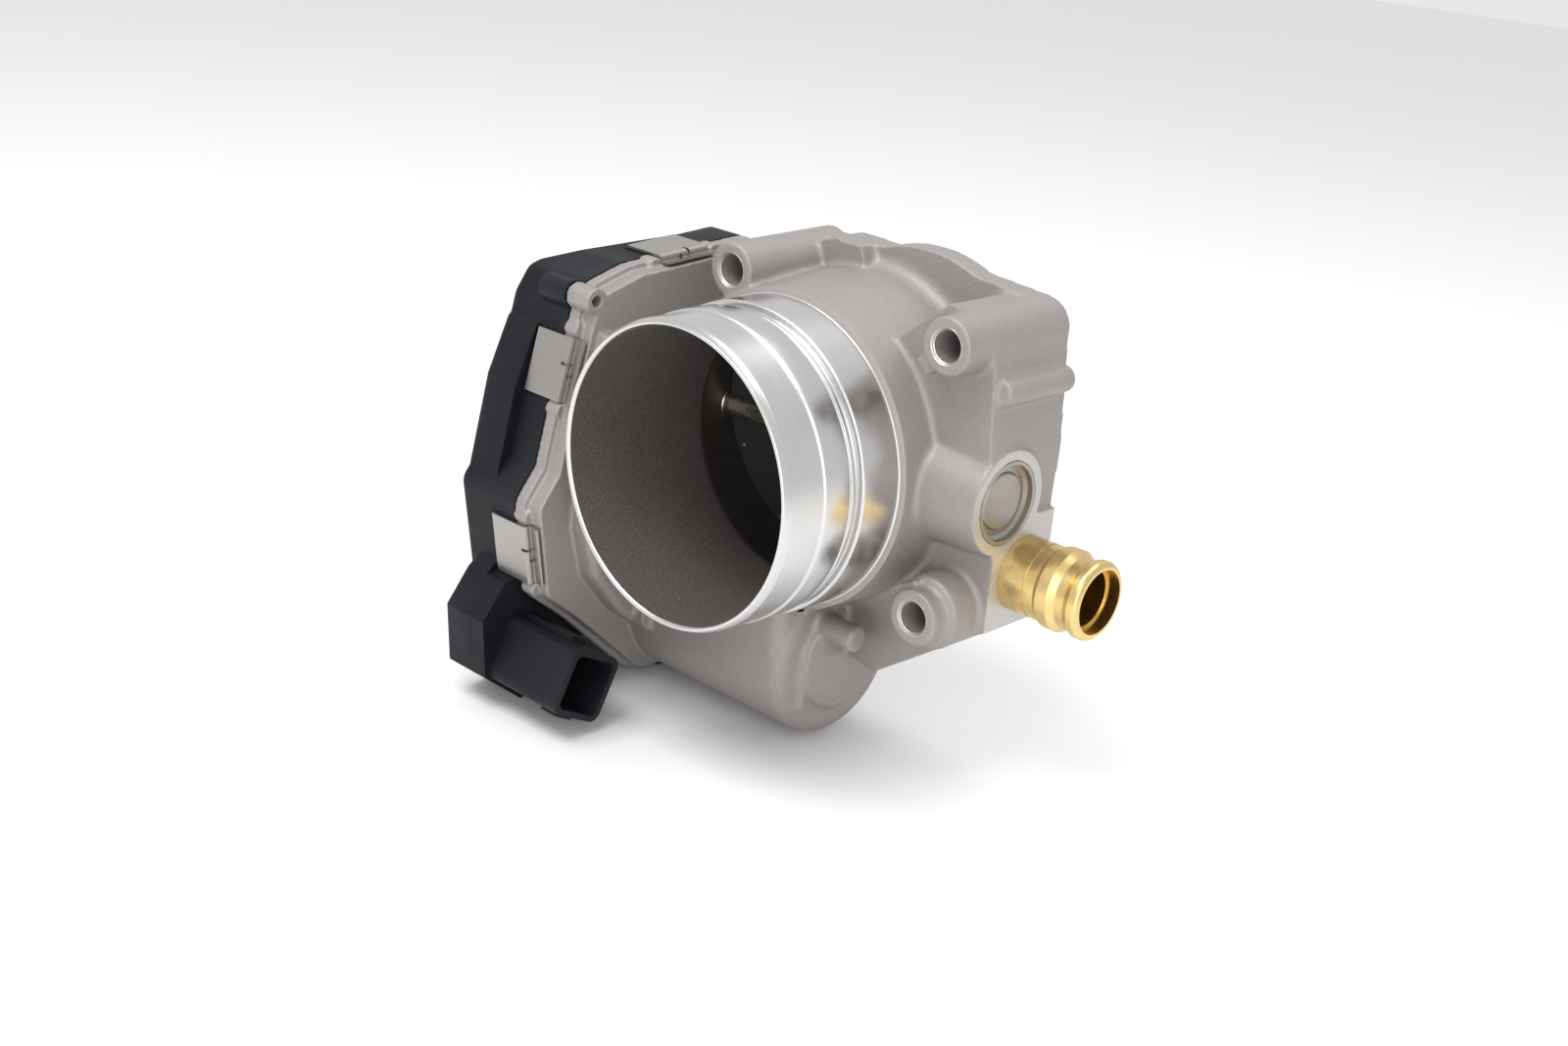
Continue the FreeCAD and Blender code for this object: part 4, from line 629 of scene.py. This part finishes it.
def shaft_rings():
    """Chamfered edges of the shaft's hole where it opens into the bore."""
    metal = turned_metal("shaft_hole_edge", (0.80, 0.78, 0.75), 0.25, "X")
    made = []
    for index, side in enumerate((-1, 1)):
        profile = [
            (RING_INNER_R, side * BORE_R), (RING_MOUTH_R, side * (BORE_R - 0.26)),
            (RING_OUTER_R, side * (BORE_R - 0.1)), (RING_OUTER_R, side * (BORE_R + 0.6)),
            (RING_INNER_R, side * (BORE_R + 0.6)),
        ]
        ring = lathe("shaft_ring_%d" % index, profile, (0, SHAFT_Y, 0), "X", RING_SEGMENTS)
        dress(ring, metal)
        made.append(ring)
    return made


# ---------------------------------------------------------------- studio

def camera_axes():
    """Right, up and backward directions of the camera."""
    az, el, roll = [math.radians(value) for value in (AZIMUTH, ELEVATION, ROLL)]
    back = Vector((math.sin(az) * math.cos(el), -math.cos(az) * math.cos(el), math.sin(el)))
    level = Vector((math.cos(az), math.sin(az), 0.0))
    upright = back.cross(level)
    right = level * math.cos(roll) + upright * math.sin(roll)
    up = upright * math.cos(roll) - level * math.sin(roll)
    return right, up, back


def place_camera():
    """Camera at the photograph's viewpoint."""
    right, up, back = camera_axes()
    data = bpy.data.cameras.new("camera")
    data.lens = LENS_MM
    data.clip_start = 0.01
    camera = bpy.data.objects.new("camera", data)
    bpy.context.scene.collection.objects.link(camera)
    across, above, away = CAMERA_OFFSET
    spot = (Vector(CAMERA_AIM) + right * across + up * above + back * away) * MM
    turn = Matrix((right, up, back)).transposed().to_4x4()
    camera.matrix_world = Matrix.Translation(spot) @ turn
    bpy.context.scene.camera = camera


def area_light(name, spot, power, wide):
    """One rectangular light, turned towards the object."""
    data = bpy.data.lights.new(name, "AREA")
    data.shape = "RECTANGLE"
    data.size, data.size_y = wide
    data.energy = power
    light = bpy.data.objects.new(name, data)
    bpy.context.scene.collection.objects.link(light)
    direction = Vector(LIGHT_AIM) - Vector(spot)
    light.location = spot
    light.rotation_euler = direction.to_track_quat("-Z", "Y").to_euler()


def studio():
    """Pale floor, pale surroundings and three large soft lights."""
    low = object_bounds()[0][2] - FLOOR_GAP
    bpy.ops.mesh.primitive_plane_add(size=FLOOR_SIZE, location=(0, 0, low))
    floor = bpy.context.object
    floor.name = "floor"
    recipe = Recipe("floor_paper", (0.90, 0.90, 0.90), 0.0, 0.7)
    recipe.tint(recipe.noise(3.0, 2.0), (0.88, 0.88, 0.88), 0.5)
    dress(floor, recipe.material)
    world = bpy.data.worlds.new("surroundings")
    world.use_nodes = True
    background = world.node_tree.nodes["Background"]
    background.inputs["Color"].default_value = (1.0, 1.0, 1.0, 1.0)
    background.inputs["Strength"].default_value = SURROUNDINGS_STRENGTH
    bpy.context.scene.world = world
    bpy.context.scene.view_settings.view_transform = "Standard"
    for light in LIGHTS:
        area_light(*light)


# ---------------------------------------------------------------- build

def build():
    """Dress the CAD nodes, make the housing's pieces and the trim, then light and frame them."""
    for name, material in node_materials().items():
        dress(NODES[name], material)
    metal = cast_aluminium()
    housing_pieces = [casting(metal), throat(metal)] + bolt_sleeves() + shaft_rings()
    for piece in housing_pieces:
        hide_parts("housing")
        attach(piece, "body")
    plate_dots()
    studio()
    place_camera()


build()
